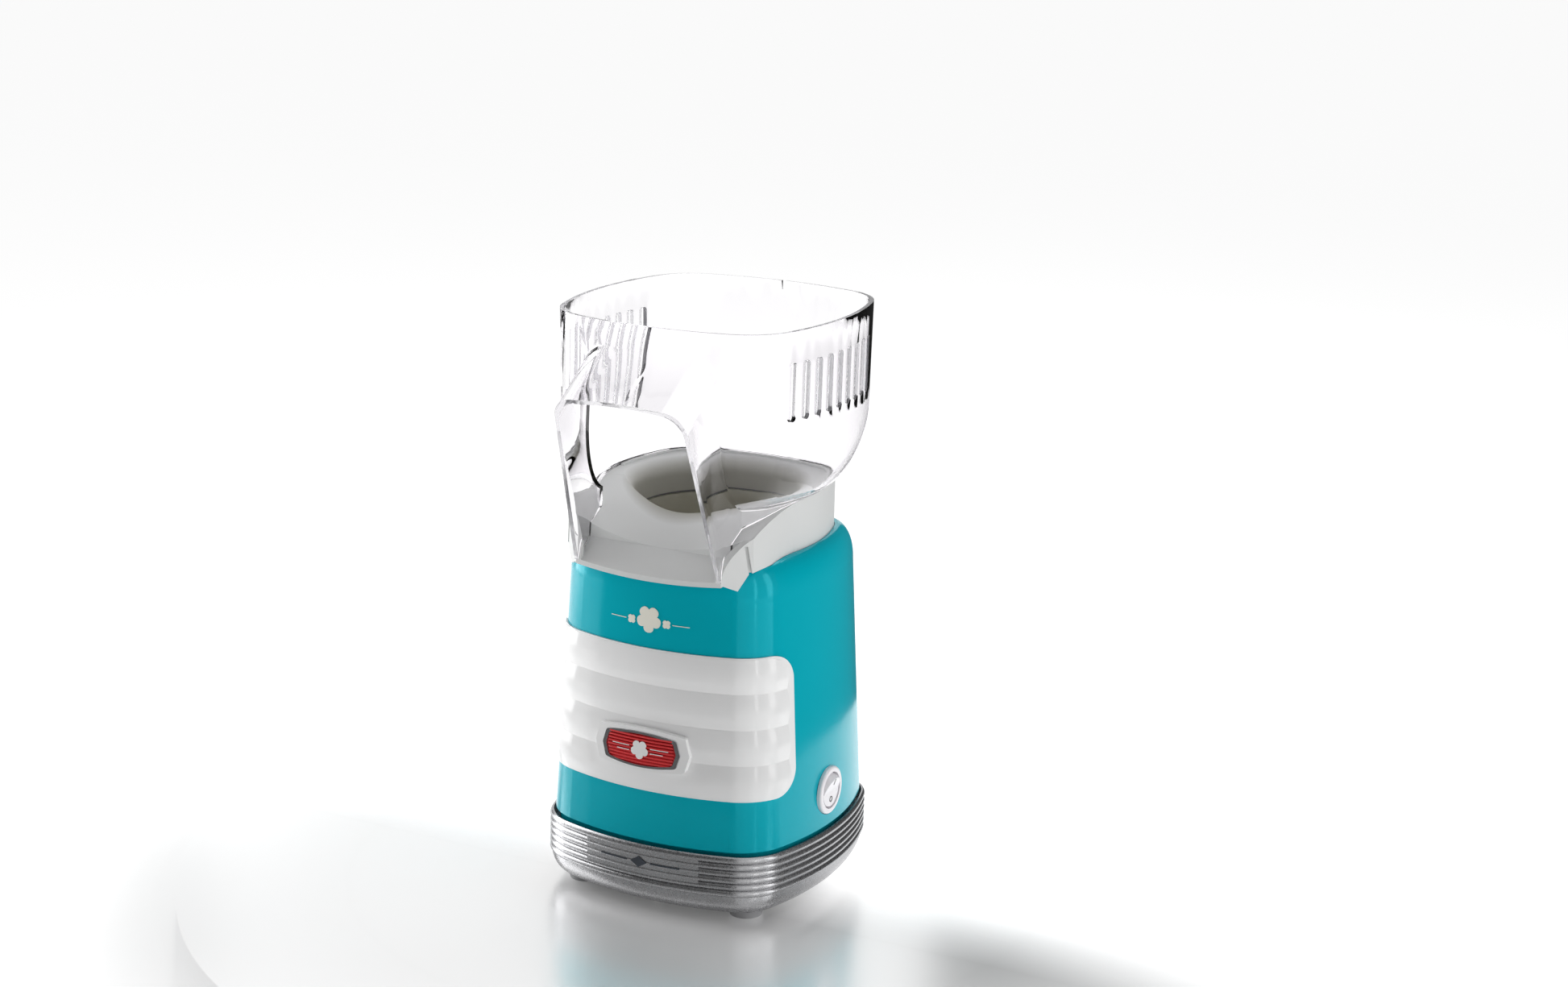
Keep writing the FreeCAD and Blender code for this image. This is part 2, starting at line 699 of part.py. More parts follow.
def badge_prism(half, height, point):
    """Prism along Y: crowned top and bottom, slightly pointed ends."""
    y = -big
    top = badge_z + height
    low = badge_z - height

    def at(x, z):
        return V(x, y, z)

    shoulder = half - point * height / badge_ring_high
    edges = [
        Part.Arc(at(-shoulder, top - badge_bow), at(0, top), at(shoulder, top - badge_bow)).toShape(),
        Part.LineSegment(at(shoulder, top - badge_bow), at(half, badge_z)).toShape(),
        Part.LineSegment(at(half, badge_z), at(shoulder, low + badge_bow)).toShape(),
        Part.Arc(at(shoulder, low + badge_bow), at(0, low), at(-shoulder, low + badge_bow)).toShape(),
        Part.LineSegment(at(-shoulder, low + badge_bow), at(-half, badge_z)).toShape(),
        Part.LineSegment(at(-half, badge_z), at(-shoulder, top - badge_bow)).toShape(),
    ]
    prism = Part.Face(Part.Wire(edges)).extrude(V(0, big, 0))
    upright = [e for e in prism.Edges if e.BoundBox.YLength > 1]
    ends = [e for e in upright if abs(abs(e.BoundBox.XMin) - half) > 0.1]
    return prism.makeFillet(point, ends)


def badge_layer(proud):
    """Everything within a distance of the body's wall around the badge."""
    low = panel_bottom
    high = panel_top
    return loft([(grown(body_at(low), proud), low), (grown(body_at(high), proud), high)], True)


def badge_frame(panel):
    frame = badge_prism(badge_half, badge_height_half, badge_point).common(badge_layer(badge_proud))
    recess = badge_prism(badge_ring_half + 0.1, badge_ring_high + 0.1, badge_point)
    frame = frame.cut(recess.cut(badge_layer(badge_floor)))
    return frame.cut(panel).cut(badge_layer(0)).removeSplitter()


def badge_ring():
    ring = badge_prism(badge_ring_half, badge_ring_high, badge_point)
    ring = ring.cut(badge_prism(badge_label_half, badge_label_high, badge_point))
    return ring.common(badge_layer(badge_proud + 0.5)).cut(badge_layer(badge_floor))


def badge_label():
    label = badge_prism(badge_label_half - 0.1, badge_label_high - 0.1, badge_point)
    return label.common(badge_layer(badge_proud - 0.4)).cut(badge_layer(badge_floor))


# Hood.
def hood_plan(z):
    """Plan of the hood's outer wall; below the belly it rounds in to the collar."""
    if z >= belly_z:
        return mixed(hood_belly, hood_rim, (z - belly_z) / (hood_top - belly_z))
    depth = (belly_z - z) / (belly_z - rim_z) * 0.95
    share = (1 - math.sqrt(1 - depth * depth)) / (1 - math.sqrt(1 - 0.95 ** 2))
    return mixed(hood_belly, collar_plan, share)


def tub(inset):
    """The hood's open box, solid; the inset one also runs out at both ends."""
    low = rim_z
    sections = []
    steps = 7
    for i in range(steps + 1):
        z = belly_z - (belly_z - low) * i / steps
        lift = 0.6 * inset * (i / steps) ** 2
        sections.append((grown(hood_plan(z), -inset), z + lift))
    bowl = loft(sections)
    extra = 1.0 if inset else 0.0
    wall = loft([(grown(hood_belly, -inset), belly_z), (grown(hood_rim, -inset), hood_top + extra)], True)
    skirt = block(grown(collar_plan, -inset), low - 40, low + 3 * extra)
    return joined([bowl, wall, skirt])


def chute_wire(inset, foot, top, foot_half, top_half):
    """Arch profile from foot to top, in the plane that both points and X span."""
    rise = top - foot
    height = rise.Length
    rise = rise.multiply(1 / height)

    def at(x, s):
        return foot + rise * s + V(x, 0, 0)

    high = height - inset
    lean = (foot_half - top_half) / height
    low_x = foot_half - inset
    high_x = low_x - lean * (high - chute_corner)
    knee = chute_corner * 0.293
    corner_x = low_x - lean * high - chute_corner
    return Part.Wire([
        Part.LineSegment(at(-low_x, 0), at(low_x, 0)).toShape(),
        Part.LineSegment(at(low_x, 0), at(high_x, high - chute_corner)).toShape(),
        Part.Arc(at(high_x, high - chute_corner), at(high_x - knee, high - knee),
                 at(corner_x, high)).toShape(),
        Part.Arc(at(corner_x, high), at(0, high + 1.2), at(-corner_x, high)).toShape(),
        Part.Arc(at(-corner_x, high), at(-high_x + knee, high - knee),
                 at(-high_x, high - chute_corner)).toShape(),
        Part.LineSegment(at(-high_x, high - chute_corner), at(-low_x, 0)).toShape(),
    ])


def chute(inset):
    """The pouring chute as a solid between the tub's front and its leaning mouth."""
    lean = V(0, -chute_reach, chute_top_z) - V(0, chute_foot_y, chute_foot_z)
    foot = V(0, chute_foot_y, chute_foot_z) - lean * 0.25
    over = V(0, -6, -1)             # past the mouth's plane; trimmed afterwards
    mouth = chute_wire(inset, foot + over, V(0, -chute_reach, chute_top_z) + over,
                       chute_foot_half + 1.2, chute_top_half)
    root = chute_wire(inset, V(0, chute_root_y, foot.z), V(0, chute_root_y, chute_root_top),
                      chute_root_foot_half, chute_root_top_half)
    return Part.makeLoft([root, mouth], True, True)


def collar_bed():
    """Everything under the hood's lower edge: the dished floor, its side walls and the rim."""
    behind = box((-big, ear_y, 0), (big, big, 2 * big))
    bed = rim_region(seat_gap, above=False).common(behind).cut(dish(seat_gap))
    front = box((-big, -big, 0), (big, ear_y, 2 * big))
    lip = floor_region(seat_gap, above=False).common(front)
    walls = wing_block(seat_gap, lip_z, rim_z + 1)
    walls = walls.cut(wing_block(-collar_wall - seat_gap, lip_z - 1, rim_z + 2))
    walls = walls.common(rim_region(seat_gap, above=False)).common(front)
    return bed.fuse([lip, walls])


def hood():
    shell = tub(0).fuse(chute(0))
    shell = shell.cut(tub(hood_wall).fuse(chute(hood_wall)))
    top = V(0, -chute_reach, chute_top_z)
    foot = V(0, chute_foot_y, chute_foot_z)
    low = foot + (foot - top)
    high = top + (top - foot)
    ahead = extruded([V(-big, low.y, low.z), V(-big, high.y, high.z), V(-big, high.y - big, high.z),
                      V(-big, low.y - big, low.z)], V(2 * big, 0, 0))
    shell = shell.cut(ahead).cut(collar_bed())
    shell = shell.cut(box((-big, -big, hood_top), (big, big, hood_top + 50)))
    vent_half = vent_width / 2
    slots = []
    for i in range(vent_count):
        y = vent_middle + (i - (vent_count - 1) / 2) * vent_pitch
        slot = box((-big, y - vent_half, vent_low + vent_half), (big, y + vent_half, vent_high - vent_half))
        for z in (vent_low + vent_half, vent_high - vent_half):
            slot = slot.fuse(rod(vent_half, V(-big, y, z), RIGHT, 2 * big))
        slots.append(slot)
    shell = shell.cut(slots)
    notch = box((-notch_width / 2, 0, hood_top - notch_depth), (notch_width / 2, big, hood_top + 1))
    return shell.cut(notch).removeSplitter()


# Chamber and air path.
def cup(radius, low, round_radius, high):
    """Solid cup form: a cylinder with a rounded bottom edge."""
    form = rod(radius, V(0, mouth_y, low), UP, high - low)
    rim = [e for e in form.Edges if abs(e.BoundBox.ZMax - low) < 1e-6]
    return form.makeFillet(round_radius, rim)


def popping_chamber():
    high = mouth_boss_z - gasket_thick
    outer_radius = chamber_radius + chamber_wall
    outer = cup(outer_radius, chamber_floor, chamber_round, high)
    outer = outer.fuse(rod(chamber_flange, V(0, mouth_y, high - chamber_wall), UP, chamber_wall))
    inner = cup(chamber_radius, chamber_floor + chamber_wall, chamber_round - chamber_wall, high + 5)
    chamber = outer.cut(inner)
    low = chamber_floor + chamber_round + louvre_rise
    for i in range(louvre_count):
        slot = box((0, -louvre_width / 2, low), (10, louvre_width / 2, low + louvre_height))
        slot.rotate(V(0, 0, 0), UP, louvre_turn)
        slot.translate(V(chamber_radius - 3.5, 0, 0))
        slot.rotate(V(0, 0, 0), UP, 360.0 * i / louvre_count)
        slot.translate(V(0, mouth_y, 0))
        chamber = chamber.cut(slot)
    return chamber


def chamber_gasket():
    low = mouth_boss_z - gasket_thick
    return tube(chamber_flange - 1, mouth_radius + 1.5, low, mouth_boss_z, 0, mouth_y)


def air_duct():
    high = mouth_boss_z - gasket_thick - chamber_wall
    outer = duct_radius + duct_wall
    duct = tube(outer, duct_radius, duct_bottom, high, 0, mouth_y)
    flange_in = chamber_radius + chamber_wall + slip
    duct = duct.fuse(tube(duct_radius + 0.1, flange_in, high - duct_wall, high, 0, mouth_y))
    top = plate_z + plate_thick
    for turn in quarter_turns:
        tab = box((duct_radius + duct_wall / 2, -duct_tab / 2, top),
                  (outer + duct_tab, duct_tab / 2, top + duct_wall))
        tab.rotate(V(0, 0, 0), UP, turn)
        tab.translate(V(0, mouth_y, 0))
        duct = duct.fuse(tab)
    for x, y in around(rivet_place, mouth_y):
        duct = duct.cut(rod(rivet_radius + rivet_free, V(x, y, top - 1), UP, 3))
    return duct


def duct_rivets():
    rivets = []
    top = plate_z + plate_thick + duct_wall
    for x, y in around(rivet_place, mouth_y):
        rivet = rod(rivet_radius, V(x, y, plate_z - rivet_head), UP, top - plate_z + 2 * rivet_head)
        rivet = rivet.fuse(rod(2.8, V(x, y, top), UP, rivet_head))
        rivets.append(rivet.fuse(rod(2.4, V(x, y, plate_z - rivet_head), UP, rivet_head)))
    return Part.makeCompound(rivets)


def chassis_plate():
    plan = grown(body_high, -body_wall - plate_slip)
    plate = block(plan, plate_z, plate_z + plate_thick)
    plate = plate.cut(rod(duct_radius + duct_wall + slip, V(0, mouth_y, plate_z - 1), UP, 5))
    for x, y in corners(post_place) + corners(collar_post_x, collar_post_y):
        plate = plate.cut(rod(screw_radius + screw_free, V(x, y, plate_z - 1), UP, 5))
    for x, y in around(rivet_place, mouth_y):
        plate = plate.cut(rod(rivet_radius + rivet_free, V(x, y, plate_z - 1), UP, 5))
    return plate


def fan_housing():
    outer = duct_radius - slip
    top = duct_bottom + 6
    drum = tube(outer, outer - fan_wall, fan_bottom, top, 0, mouth_y)
    drum = drum.fuse(tube(duct_radius + 3, outer - 1, duct_bottom - fan_wall, duct_bottom, 0, mouth_y))
    drum = drum.fuse(tube(outer, fan_inlet, fan_bottom, fan_bottom + fan_wall, 0, mouth_y))
    for turn in (0, 90):
        arm = box((-fan_inlet - 2, -spider_width / 2, 0), (fan_inlet + 2, spider_width / 2, spider_thick))
        arm.rotate(V(0, 0, 0), UP, turn)
        arm.translate(V(0, mouth_y, fan_bottom))
        drum = drum.fuse(arm)
    pillar = rod(motor_radius, V(0, mouth_y, motor_top), UP, fan_bottom - motor_top)
    arm = box((-big, mouth_y - spider_width / 2, 0), (big, mouth_y + spider_width / 2, big))
    drum = drum.fuse(pillar.common(arm))
    drum = drum.cut(rod(bush_radius + 0.6, V(0, mouth_y, motor_top - 1), UP, 20))
    for x, y in motor_places:
        drum = drum.cut(rod(screw_radius + screw_free, V(x, y, motor_top - 1), UP, 30))
    return drum.removeSplitter()


def motor_can():
    can = rod(motor_radius, V(0, mouth_y, motor_bottom), UP, motor_top - motor_bottom)
    ends = [e for e in can.Edges if e.BoundBox.ZLength < 1e-6]
    can = can.makeFillet(1.5, ends)
    can = can.cut(rod(motor_radius - 3, V(0, mouth_y, motor_bottom + 4), UP, motor_top - motor_bottom - 8))
    can = can.cut(rod(bush_radius, V(0, mouth_y, motor_bottom - 1), UP, big))
    for x, y in motor_places:
        can = can.cut(rod(screw_radius - screw_bite, V(x, y, motor_top - 5), UP, 6))
    return can


def motor_bushes():
    low = tube(bush_radius, shaft_radius + shaft_slip, motor_bottom, motor_bottom + bush_length, 0, mouth_y)
    high = tube(bush_radius, shaft_radius + shaft_slip, motor_top - bush_length, motor_top, 0, mouth_y)
    return Part.makeCompound([low, high])


def motor_shaft():
    top = impeller_z + impeller_height - 2
    shaft = rod(shaft_radius, V(0, mouth_y, motor_bottom - 2), UP, top - motor_bottom + 2)
    core_low = motor_bottom + bush_length + 1.5
    core_high = motor_top - bush_length - 1.5
    return shaft.fuse(rod(motor_radius - 5, V(0, mouth_y, core_low), UP, core_high - core_low))


def fan_impeller():
    disc = rod(impeller_radius, V(0, mouth_y, impeller_z), UP, impeller_disc)
    hub = rod(hub_radius, V(0, mouth_y, impeller_z), UP, impeller_height)
    wheel = disc.fuse(hub)
    for i in range(blade_count):
        blade = box((0, -blade_thick / 2, impeller_z), (impeller_radius - 15, blade_thick / 2,
                                                       impeller_z + impeller_height))
        blade.rotate(V(0, 0, 0), UP, blade_turn)
        blade.translate(V(14, 0, 0))
        blade.rotate(V(0, 0, 0), UP, 360.0 * i / blade_count)
        blade.translate(V(0, mouth_y, 0))
        wheel = wheel.fuse(blade)
    bore = rod(shaft_radius, V(0, mouth_y, impeller_z - 1), UP, impeller_height + 2)
    return wheel.cut(bore).removeSplitter()


def heater_boards():
    """Two crossed mica boards, slotted into each other, with notches for the coil."""
    reach = duct_radius - 4
    boards = []
    middle = (heater_low + heater_high) / 2
    half = board_thick / 2
    for turn in (0, 90):
        board = box((-reach, -half, heater_low), (reach, half, heater_high))
        slot_low, slot_high = (middle, heater_high + 1) if turn else (heater_low - 1, middle)
        board = board.cut(box((-half - 0.05, -1, slot_low), (half + 0.05, 1, slot_high)))
        for k in range(coil_turns):
            z = heater_low + 3.5 + coil_pitch * k
            for side in (-1, 1):
                board = board.cut(rod(coil_wire + 0.1, V(side * coil_radius, -1, z), BACK, 2))
        board.rotate(V(0, 0, 0), UP, turn)
        board.translate(V(0, mouth_y, 0))
        boards.append(board)
    return Part.makeCompound(boards)


def heater_coil():
    turns = []
    for k in range(coil_turns):
        z = heater_low + 3.5 + coil_pitch * k
        turns.append(Part.makeTorus(coil_radius, coil_wire, V(0, mouth_y, z)))
    return Part.makeCompound(turns)


# Electrics.
def thermostat():
    x = duct_radius + duct_wall
    z = base_top + 92
    body = rod(8, V(0, 0, 0), RIGHT, 6)
    flange = box((0, -12, -2.5), (0.8, 12, 2.5))
    legs = box((6, -5, -3), (13, -4.2, 3)).fuse(box((6, 4.2, -3), (13, 5, 3)))
    part = joined([body, flange, legs])
    part.rotate(V(0, 0, 0), UP, 180)
    part.translate(V(-x, mouth_y, z))
    keep = rod(x, V(0, mouth_y, z - 20), UP, 40)
    return part.cut(keep)


def thermal_fuse():
    x = duct_radius + duct_wall + 2.2
    z = base_top + 70
    body = rod(2, V(-x, mouth_y - 6, z), BACK, 12)
    return body.fuse(rod(0.5, V(-x, mouth_y - 14, z), BACK, 28))


def rectifier_board():
    """Small circuit board on the motor's end with four diodes."""
    board = box((-13, mouth_y - 13, motor_bottom - 5), (13, mouth_y + 13, motor_bottom - 3.4))
    board = board.cut(rod(5, V(0, mouth_y, motor_bottom - 8), UP, 8))
    parts = [board]
    for x, y in corners(9, 8):
        parts.append(rod(1.4, V(x, mouth_y + y - 2.5, motor_bottom - 6.2), BACK, 5))
    for x, y in corners(7.5, 11.5):
        parts.append(rod(1.2, V(x, mouth_y + y, motor_bottom - 3.4), UP, 3.4))
    return joined(parts)


def switch_body():
    start = V(switch_flat, switch_y, switch_z)
    bezel = rod(bezel_radius, start, RIGHT, bezel_thick)
    rim = [e for e in bezel.Edges if abs(e.BoundBox.XMin - switch_flat - bezel_thick) < 1e-6]
    bezel = bezel.makeFillet(1.1, rim)
    barrel = rod(barrel_radius, V(switch_flat - barrel_length, switch_y, switch_z), RIGHT, barrel_length)
    case = bezel.fuse(barrel)
    case = case.cut(rod(barrel_bore, V(switch_flat - barrel_length + 2, switch_y, switch_z), RIGHT, 40))
    pivot = switch_flat + bezel_thick - pivot_back
    pin_hole = rod(rocker_pin + shaft_slip, V(pivot, switch_y - barrel_radius - 1, switch_z), BACK,
                   2 * barrel_radius + 2)
    return case.cut(pin_hole)


def switch_rocker():
    pivot = switch_flat + bezel_thick - pivot_back
    shape = Part.makeSphere(rocker_radius)
    for side in (1, -1):
        top = box((rocker_face, -20, 0), (rocker_face + 20, 20, 30))
        top.rotate(V(rocker_face, 0, 0), BACK, rocker_half_angle)
        if side < 0:
            top = top.mirror(V(0, 0, 0), UP)
        shape = shape.cut(top)
    shape = shape.cut(box((-20, -20, -20), (-rocker_back, 20, 20)))
    shape = shape.fuse(rod(rocker_pin, V(0, -barrel_radius + 0.1, 0), BACK, 2 * barrel_radius - 0.2))
    shape.rotate(V(0, 0, 0), BACK, rocker_half_angle)
    shape.translate(V(pivot, switch_y, switch_z))
    return shape


def switch_terminals():
    tabs = []
    back = switch_flat - barrel_length
    half = tab_thick / 2
    for z in (switch_z - tab_place, switch_z + tab_place):
        tabs.append(box((back - tab_length, switch_y - 3, z - half), (back, switch_y + 3, z + half)))
    return Part.makeCompound(tabs)


def terminal_block():
    low = base_top - ledge_depth
    half = block_depth / 2
    strip = box((-block_half, boss_place - half, low), (block_half, boss_place + half, low + block_height))
    for x in (-block_pitch, 0, block_pitch):
        entry = V(x, boss_place - half - 1, low + block_hole_up)
        strip = strip.cut(rod(block_hole, entry, BACK, block_depth + 2))
        strip = strip.cut(rod(screw_radius, V(x, boss_place, entry.z), UP, block_height))
    return strip


def cord_gland():
    rear = body_at(gland_z).half_y
    face = rear + 0.2
    flange = Part.makeCone(gland_flange, gland_flange - 1.2, gland_flange_thick, V(0, face, gland_z), BACK)
    neck = rod(gland_neck - 0.1, V(0, rear - body_wall - 3, gland_z), BACK, body_wall + 4)
    keeper = rod(gland_neck + 2, V(0, rear - body_wall - 3, gland_z), BACK, 2.2)
    gland = joined([flange, neck, keeper])
    gland = gland.cut(body_outer().common(gland).cut(body_outer(body_wall)).cut(
        rod(gland_neck, V(0, 0, gland_z), BACK, big)))
    return gland.cut(rod(gland_bore, V(0, rear - 20, gland_z), BACK, 40))


def wire(points):
    """Insulated wire: straight runs joined by tangent arcs."""
    edges = []
    start = points[0]
    for before, at, after in zip(points, points[1:], points[2:]):
        one = (before - at)
        two = (after - at)
        run_one = one.Length
        run_two = two.Length
        one.normalize()
        two.normalize()
        turn = math.pi - one.getAngle(two)
        cut = 0.45 * min(run_one, run_two)
        radius = cut / math.tan(turn / 2)
        enter = at + one * cut
        leave = at + two * cut
        bisector = (one + two)
        bisector.normalize()
        centre = at + bisector * math.hypot(cut, radius)
        middle = centre - bisector * radius
        edges.append(Part.LineSegment(start, enter).toShape())
        edges.append(Part.Arc(enter, middle, leave).toShape())
        start = leave
    edges.append(Part.LineSegment(start, points[-1]).toShape())
    spine = Part.Wire(edges)
    first = points[1] - points[0]
    profile = Part.Wire([Part.Circle(points[0], first, wire_radius).toShape()])
    return spine.makePipeShell([profile], True, False)


def wires():
    """The two leads from the switch's tabs down to the terminal block."""
    back = switch_flat - barrel_length - tab_length
    block_y = boss_place - block_depth / 2
    low = base_top - ledge_depth + block_hole_up
    live = wire([V(back, switch_y, switch_z - tab_place), V(back - 6, switch_y, switch_z - tab_place),
                 V(33, 8, base_top + 8), V(27, 24, base_top + 2), V(14, 36, low), V(block_pitch, 39, low),
                 V(block_pitch, block_y, low)])
    heat = wire([V(back, switch_y, switch_z + tab_place), V(back - 6, switch_y, switch_z + tab_place),
                 V(31, 10, base_top + 18), V(22, 24, base_top + 8), V(6, 35, low + 2), V(0, 39, low),
                 V(0, block_y, low)])
    return live, heat


# Assembly.
panel = front_panel()
live_wire, heater_wire = wires()
ledge_low = base_top - ledge_depth - ledge_thick

nodes = {
    "base_ring": base_ring(),
    "bottom_cover": bottom_cover(),
    "feet": feet(),
    "base_screws": screws(corners(post_place), ledge_low, ledge_thick + pilot_depth - 2),
    "cover_screws": screws(around(boss_place), foot_height, cover_thick + pilot_depth - 3),
    "body_shell": body_shell(),
    "front_panel": panel,
    "badge_frame": badge_frame(panel),
    "badge_ring": badge_ring(),
    "badge_label": badge_label(),
    "chute_collar": chute_collar(),
    "hood": hood(),
    "popping_chamber": popping_chamber(),
    "chamber_gasket": chamber_gasket(),
    "air_duct": air_duct(),
    "duct_rivets": duct_rivets(),
    "chassis_plate": chassis_plate(),
    "plate_screws": screws(corners(post_place), plate_z + plate_thick, pilot_depth - 1, True),
    "collar_screws": screws(corners(collar_post_x, collar_post_y), plate_z, pilot_depth - 1),
    "fan_housing": fan_housing(),
    "fan_impeller": fan_impeller(),
    "motor_can": motor_can(),
    "motor_bushes": motor_bushes(),
    "motor_shaft": motor_shaft(),
    "motor_screws": screws(motor_places, fan_bottom + spider_thick, 14, True),
    "heater_boards": heater_boards(),
    "heater_coil": heater_coil(),
    "thermostat": thermostat(),
    "thermal_fuse": thermal_fuse(),
    "rectifier_board": rectifier_board(),
    "switch_body": switch_body(),
    "switch_rocker": switch_rocker(),
    "switch_terminals": switch_terminals(),
    "terminal_block": terminal_block(),
    "cord_gland": cord_gland(),
    "live_wire": live_wire,
    "heater_wire": heater_wire,
}

for name, shape in nodes.items():
    moved = shape.copy()
    moved.translate(V(0, axis_y, 0))
    moved.exportStep("parts/" + name + ".step")
    print(name, "valid" if moved.isValid() else "NOT VALID", len(moved.Solids), "solids",
          round(moved.Volume / 1000.0, 2), "cm3")
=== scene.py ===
import json
import math
import bpy
from mathutils import Matrix, Vector


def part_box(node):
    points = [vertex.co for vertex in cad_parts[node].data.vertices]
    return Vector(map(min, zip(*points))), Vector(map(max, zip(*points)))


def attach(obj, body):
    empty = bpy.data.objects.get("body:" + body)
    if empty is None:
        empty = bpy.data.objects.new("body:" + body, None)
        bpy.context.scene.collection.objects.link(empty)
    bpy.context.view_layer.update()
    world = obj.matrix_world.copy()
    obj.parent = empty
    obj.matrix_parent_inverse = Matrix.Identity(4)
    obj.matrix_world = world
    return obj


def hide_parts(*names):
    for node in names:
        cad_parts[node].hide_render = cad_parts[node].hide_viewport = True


# Hot-air popcorn maker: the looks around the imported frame. Metres, front towards -Y.

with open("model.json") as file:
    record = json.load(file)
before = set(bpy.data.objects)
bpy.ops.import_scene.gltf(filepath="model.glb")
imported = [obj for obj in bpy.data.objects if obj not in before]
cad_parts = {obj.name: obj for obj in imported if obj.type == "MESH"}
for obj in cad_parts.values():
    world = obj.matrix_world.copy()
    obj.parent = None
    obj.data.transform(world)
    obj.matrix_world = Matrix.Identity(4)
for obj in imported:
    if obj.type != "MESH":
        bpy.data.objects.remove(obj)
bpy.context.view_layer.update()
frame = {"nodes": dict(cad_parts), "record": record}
print("frame loaded:", len(frame["nodes"]), "nodes")


class Wire:
    # one shader value; arithmetic on it adds Math nodes and node() adds any other
    def __init__(self, tree, socket=None):
        self.tree = tree
        self.socket = socket

    def node(self, kind, inputs=None, settings=None, output=0):
        made = self.tree.nodes.new(kind)
        for name, value in (settings or {}).items():
            setattr(made, name, value)
        for key, value in (inputs or {}).items():
            if isinstance(value, Wire):
                self.tree.links.new(value.socket, made.inputs[key])
            else:
                made.inputs[key].default_value = value
        return Wire(self.tree, made.outputs[output])

    def math(self, operation, first, second=0.0):
        return self.node("ShaderNodeMath", {0: first, 1: second}, {"operation": operation})

    def __add__(self, other):
        return self.math("ADD", self, other)

    __radd__ = __add__

    def __sub__(self, other):
        return self.math("SUBTRACT", self, other)

    def __rsub__(self, other):
        return self.math("SUBTRACT", other, self)

    def __mul__(self, other):
        return self.math("MULTIPLY", self, other)

    __rmul__ = __mul__

    def between(self, low, high):
        # 0 at low, 1 at high, held outside
        return self.node("ShaderNodeMapRange", {0: self, 1: low, 2: high})

    def mixed(self, first, second):
        # this value picks a colour between two
        return self.node("ShaderNodeMix", {0: self, 6: first, 7: second}, {"data_type": "RGBA"}, 2)


def startFinish(name, constants):
    # a new material with its constant sockets set; also hands out the Object coordinates
    material = bpy.data.materials.new(name)
    material.use_nodes = True
    shader = material.node_tree.nodes["Principled BSDF"]
    for socket, value in constants.items():
        shader.inputs[socket].default_value = value
    start = Wire(material.node_tree)
    return material, start, start.node("ShaderNodeTexCoord", output="Object")


def feedFinish(material, wires):
    # links the values that change over the surface
    shader = material.node_tree.nodes["Principled BSDF"]
    for socket, wire in wires.items():
        material.node_tree.links.new(wire.socket, shader.inputs[socket])
    return material


def grainOf(start, place, scale, detail=2.0, stretch=(1, 1, 1)):
    stretched = start.node("ShaderNodeMapping", {"Vector": place, "Scale": stretch})
    return start.node("ShaderNodeTexNoise", {"Vector": stretched, "Scale": scale, "Detail": detail})


def bumpOf(start, height, distance, strength=1.0):
    return start.node("ShaderNodeBump", {"Strength": strength, "Distance": distance, "Height": height})


def shade(colour, factor):
    return tuple(part * factor for part in colour[:3]) + (1.0,)


def mouldedPlastic(name, colour, roughness, grain, depth, vary=0.06, constants=None):
    # moulded plastic: slow colour drift, a fine moulded grain and uneven gloss
    material, start, place = startFinish(name, constants or {})
    drift = grainOf(start, place, 18.0)
    fine = grainOf(start, place, grain, 3.0)
    return feedFinish(material, {
        "Base Color": drift.mixed(shade(colour, 1 - vary), shade(colour, 1 + vary)),
        "Roughness": roughness * 0.85 + fine * roughness * 0.3,
        "Normal": bumpOf(start, fine, depth),
    })


def sheetMetal(name, colour, roughness, stretch, depth, vary=0.08):
    # bare metal: brushing drawn out along one axis, and slow stains
    material, start, place = startFinish(name, {"Metallic": 1.0})
    stain = grainOf(start, place, 30.0, 4.0)
    brushed = grainOf(start, place, 500.0, 2.0, stretch)
    return feedFinish(material, {
        "Base Color": stain.mixed(shade(colour, 1 - vary), shade(colour, 1 + vary)),
        "Roughness": roughness * 0.8 + brushed * roughness * 0.4,
        "Normal": bumpOf(start, brushed, depth),
    })


glossPaints = {
    # tint colours the reflections; drift and ripple are sizes of pattern, depth is the ripple's
    "turquoiseGloss": {"colour": (0.0, 0.405, 0.50), "tint": (0.16, 0.9, 1.0, 1.0), "roughness": 0.10,
                       "drift": 9.0, "spread": (0.97, 1.03), "ripple": 160.0, "depth": 0.000015},
    "whiteGloss": {"colour": (0.90, 0.90, 0.90), "tint": (1, 1, 1, 1), "roughness": 0.12,
                   "drift": 14.0, "spread": (0.975, 1.02), "ripple": 140.0, "depth": 0.000012},
}


def glossPaint(name):
    # poured gloss: slow colour drift, a faint ripple and fine specks in the shine
    look = glossPaints[name]
    low, high = look["spread"]
    material, start, place = startFinish(name, {
        "Specular IOR Level": 0.5, "Specular Tint": look["tint"]})
    drift = grainOf(start, place, look["drift"])
    ripple = grainOf(start, place, look["ripple"], 1.0)
    specks = grainOf(start, place, 900.0, 1.0)
    return feedFinish(material, {
        "Base Color": drift.mixed(shade(look["colour"], low), shade(look["colour"], high)),
        "Roughness": look["roughness"] + specks * 0.06,
        "Normal": bumpOf(start, ripple, look["depth"]),
    })


silver = {
    "dark": (0.27, 0.27, 0.28, 1),
    "bright": (0.46, 0.46, 0.47, 1),
    "flakes": 1700.0,       # size of the flake pattern
    "flakeShare": 0.25,     # of the uneven brightness; slow clouds make the rest
    "roughness": 0.25,
}


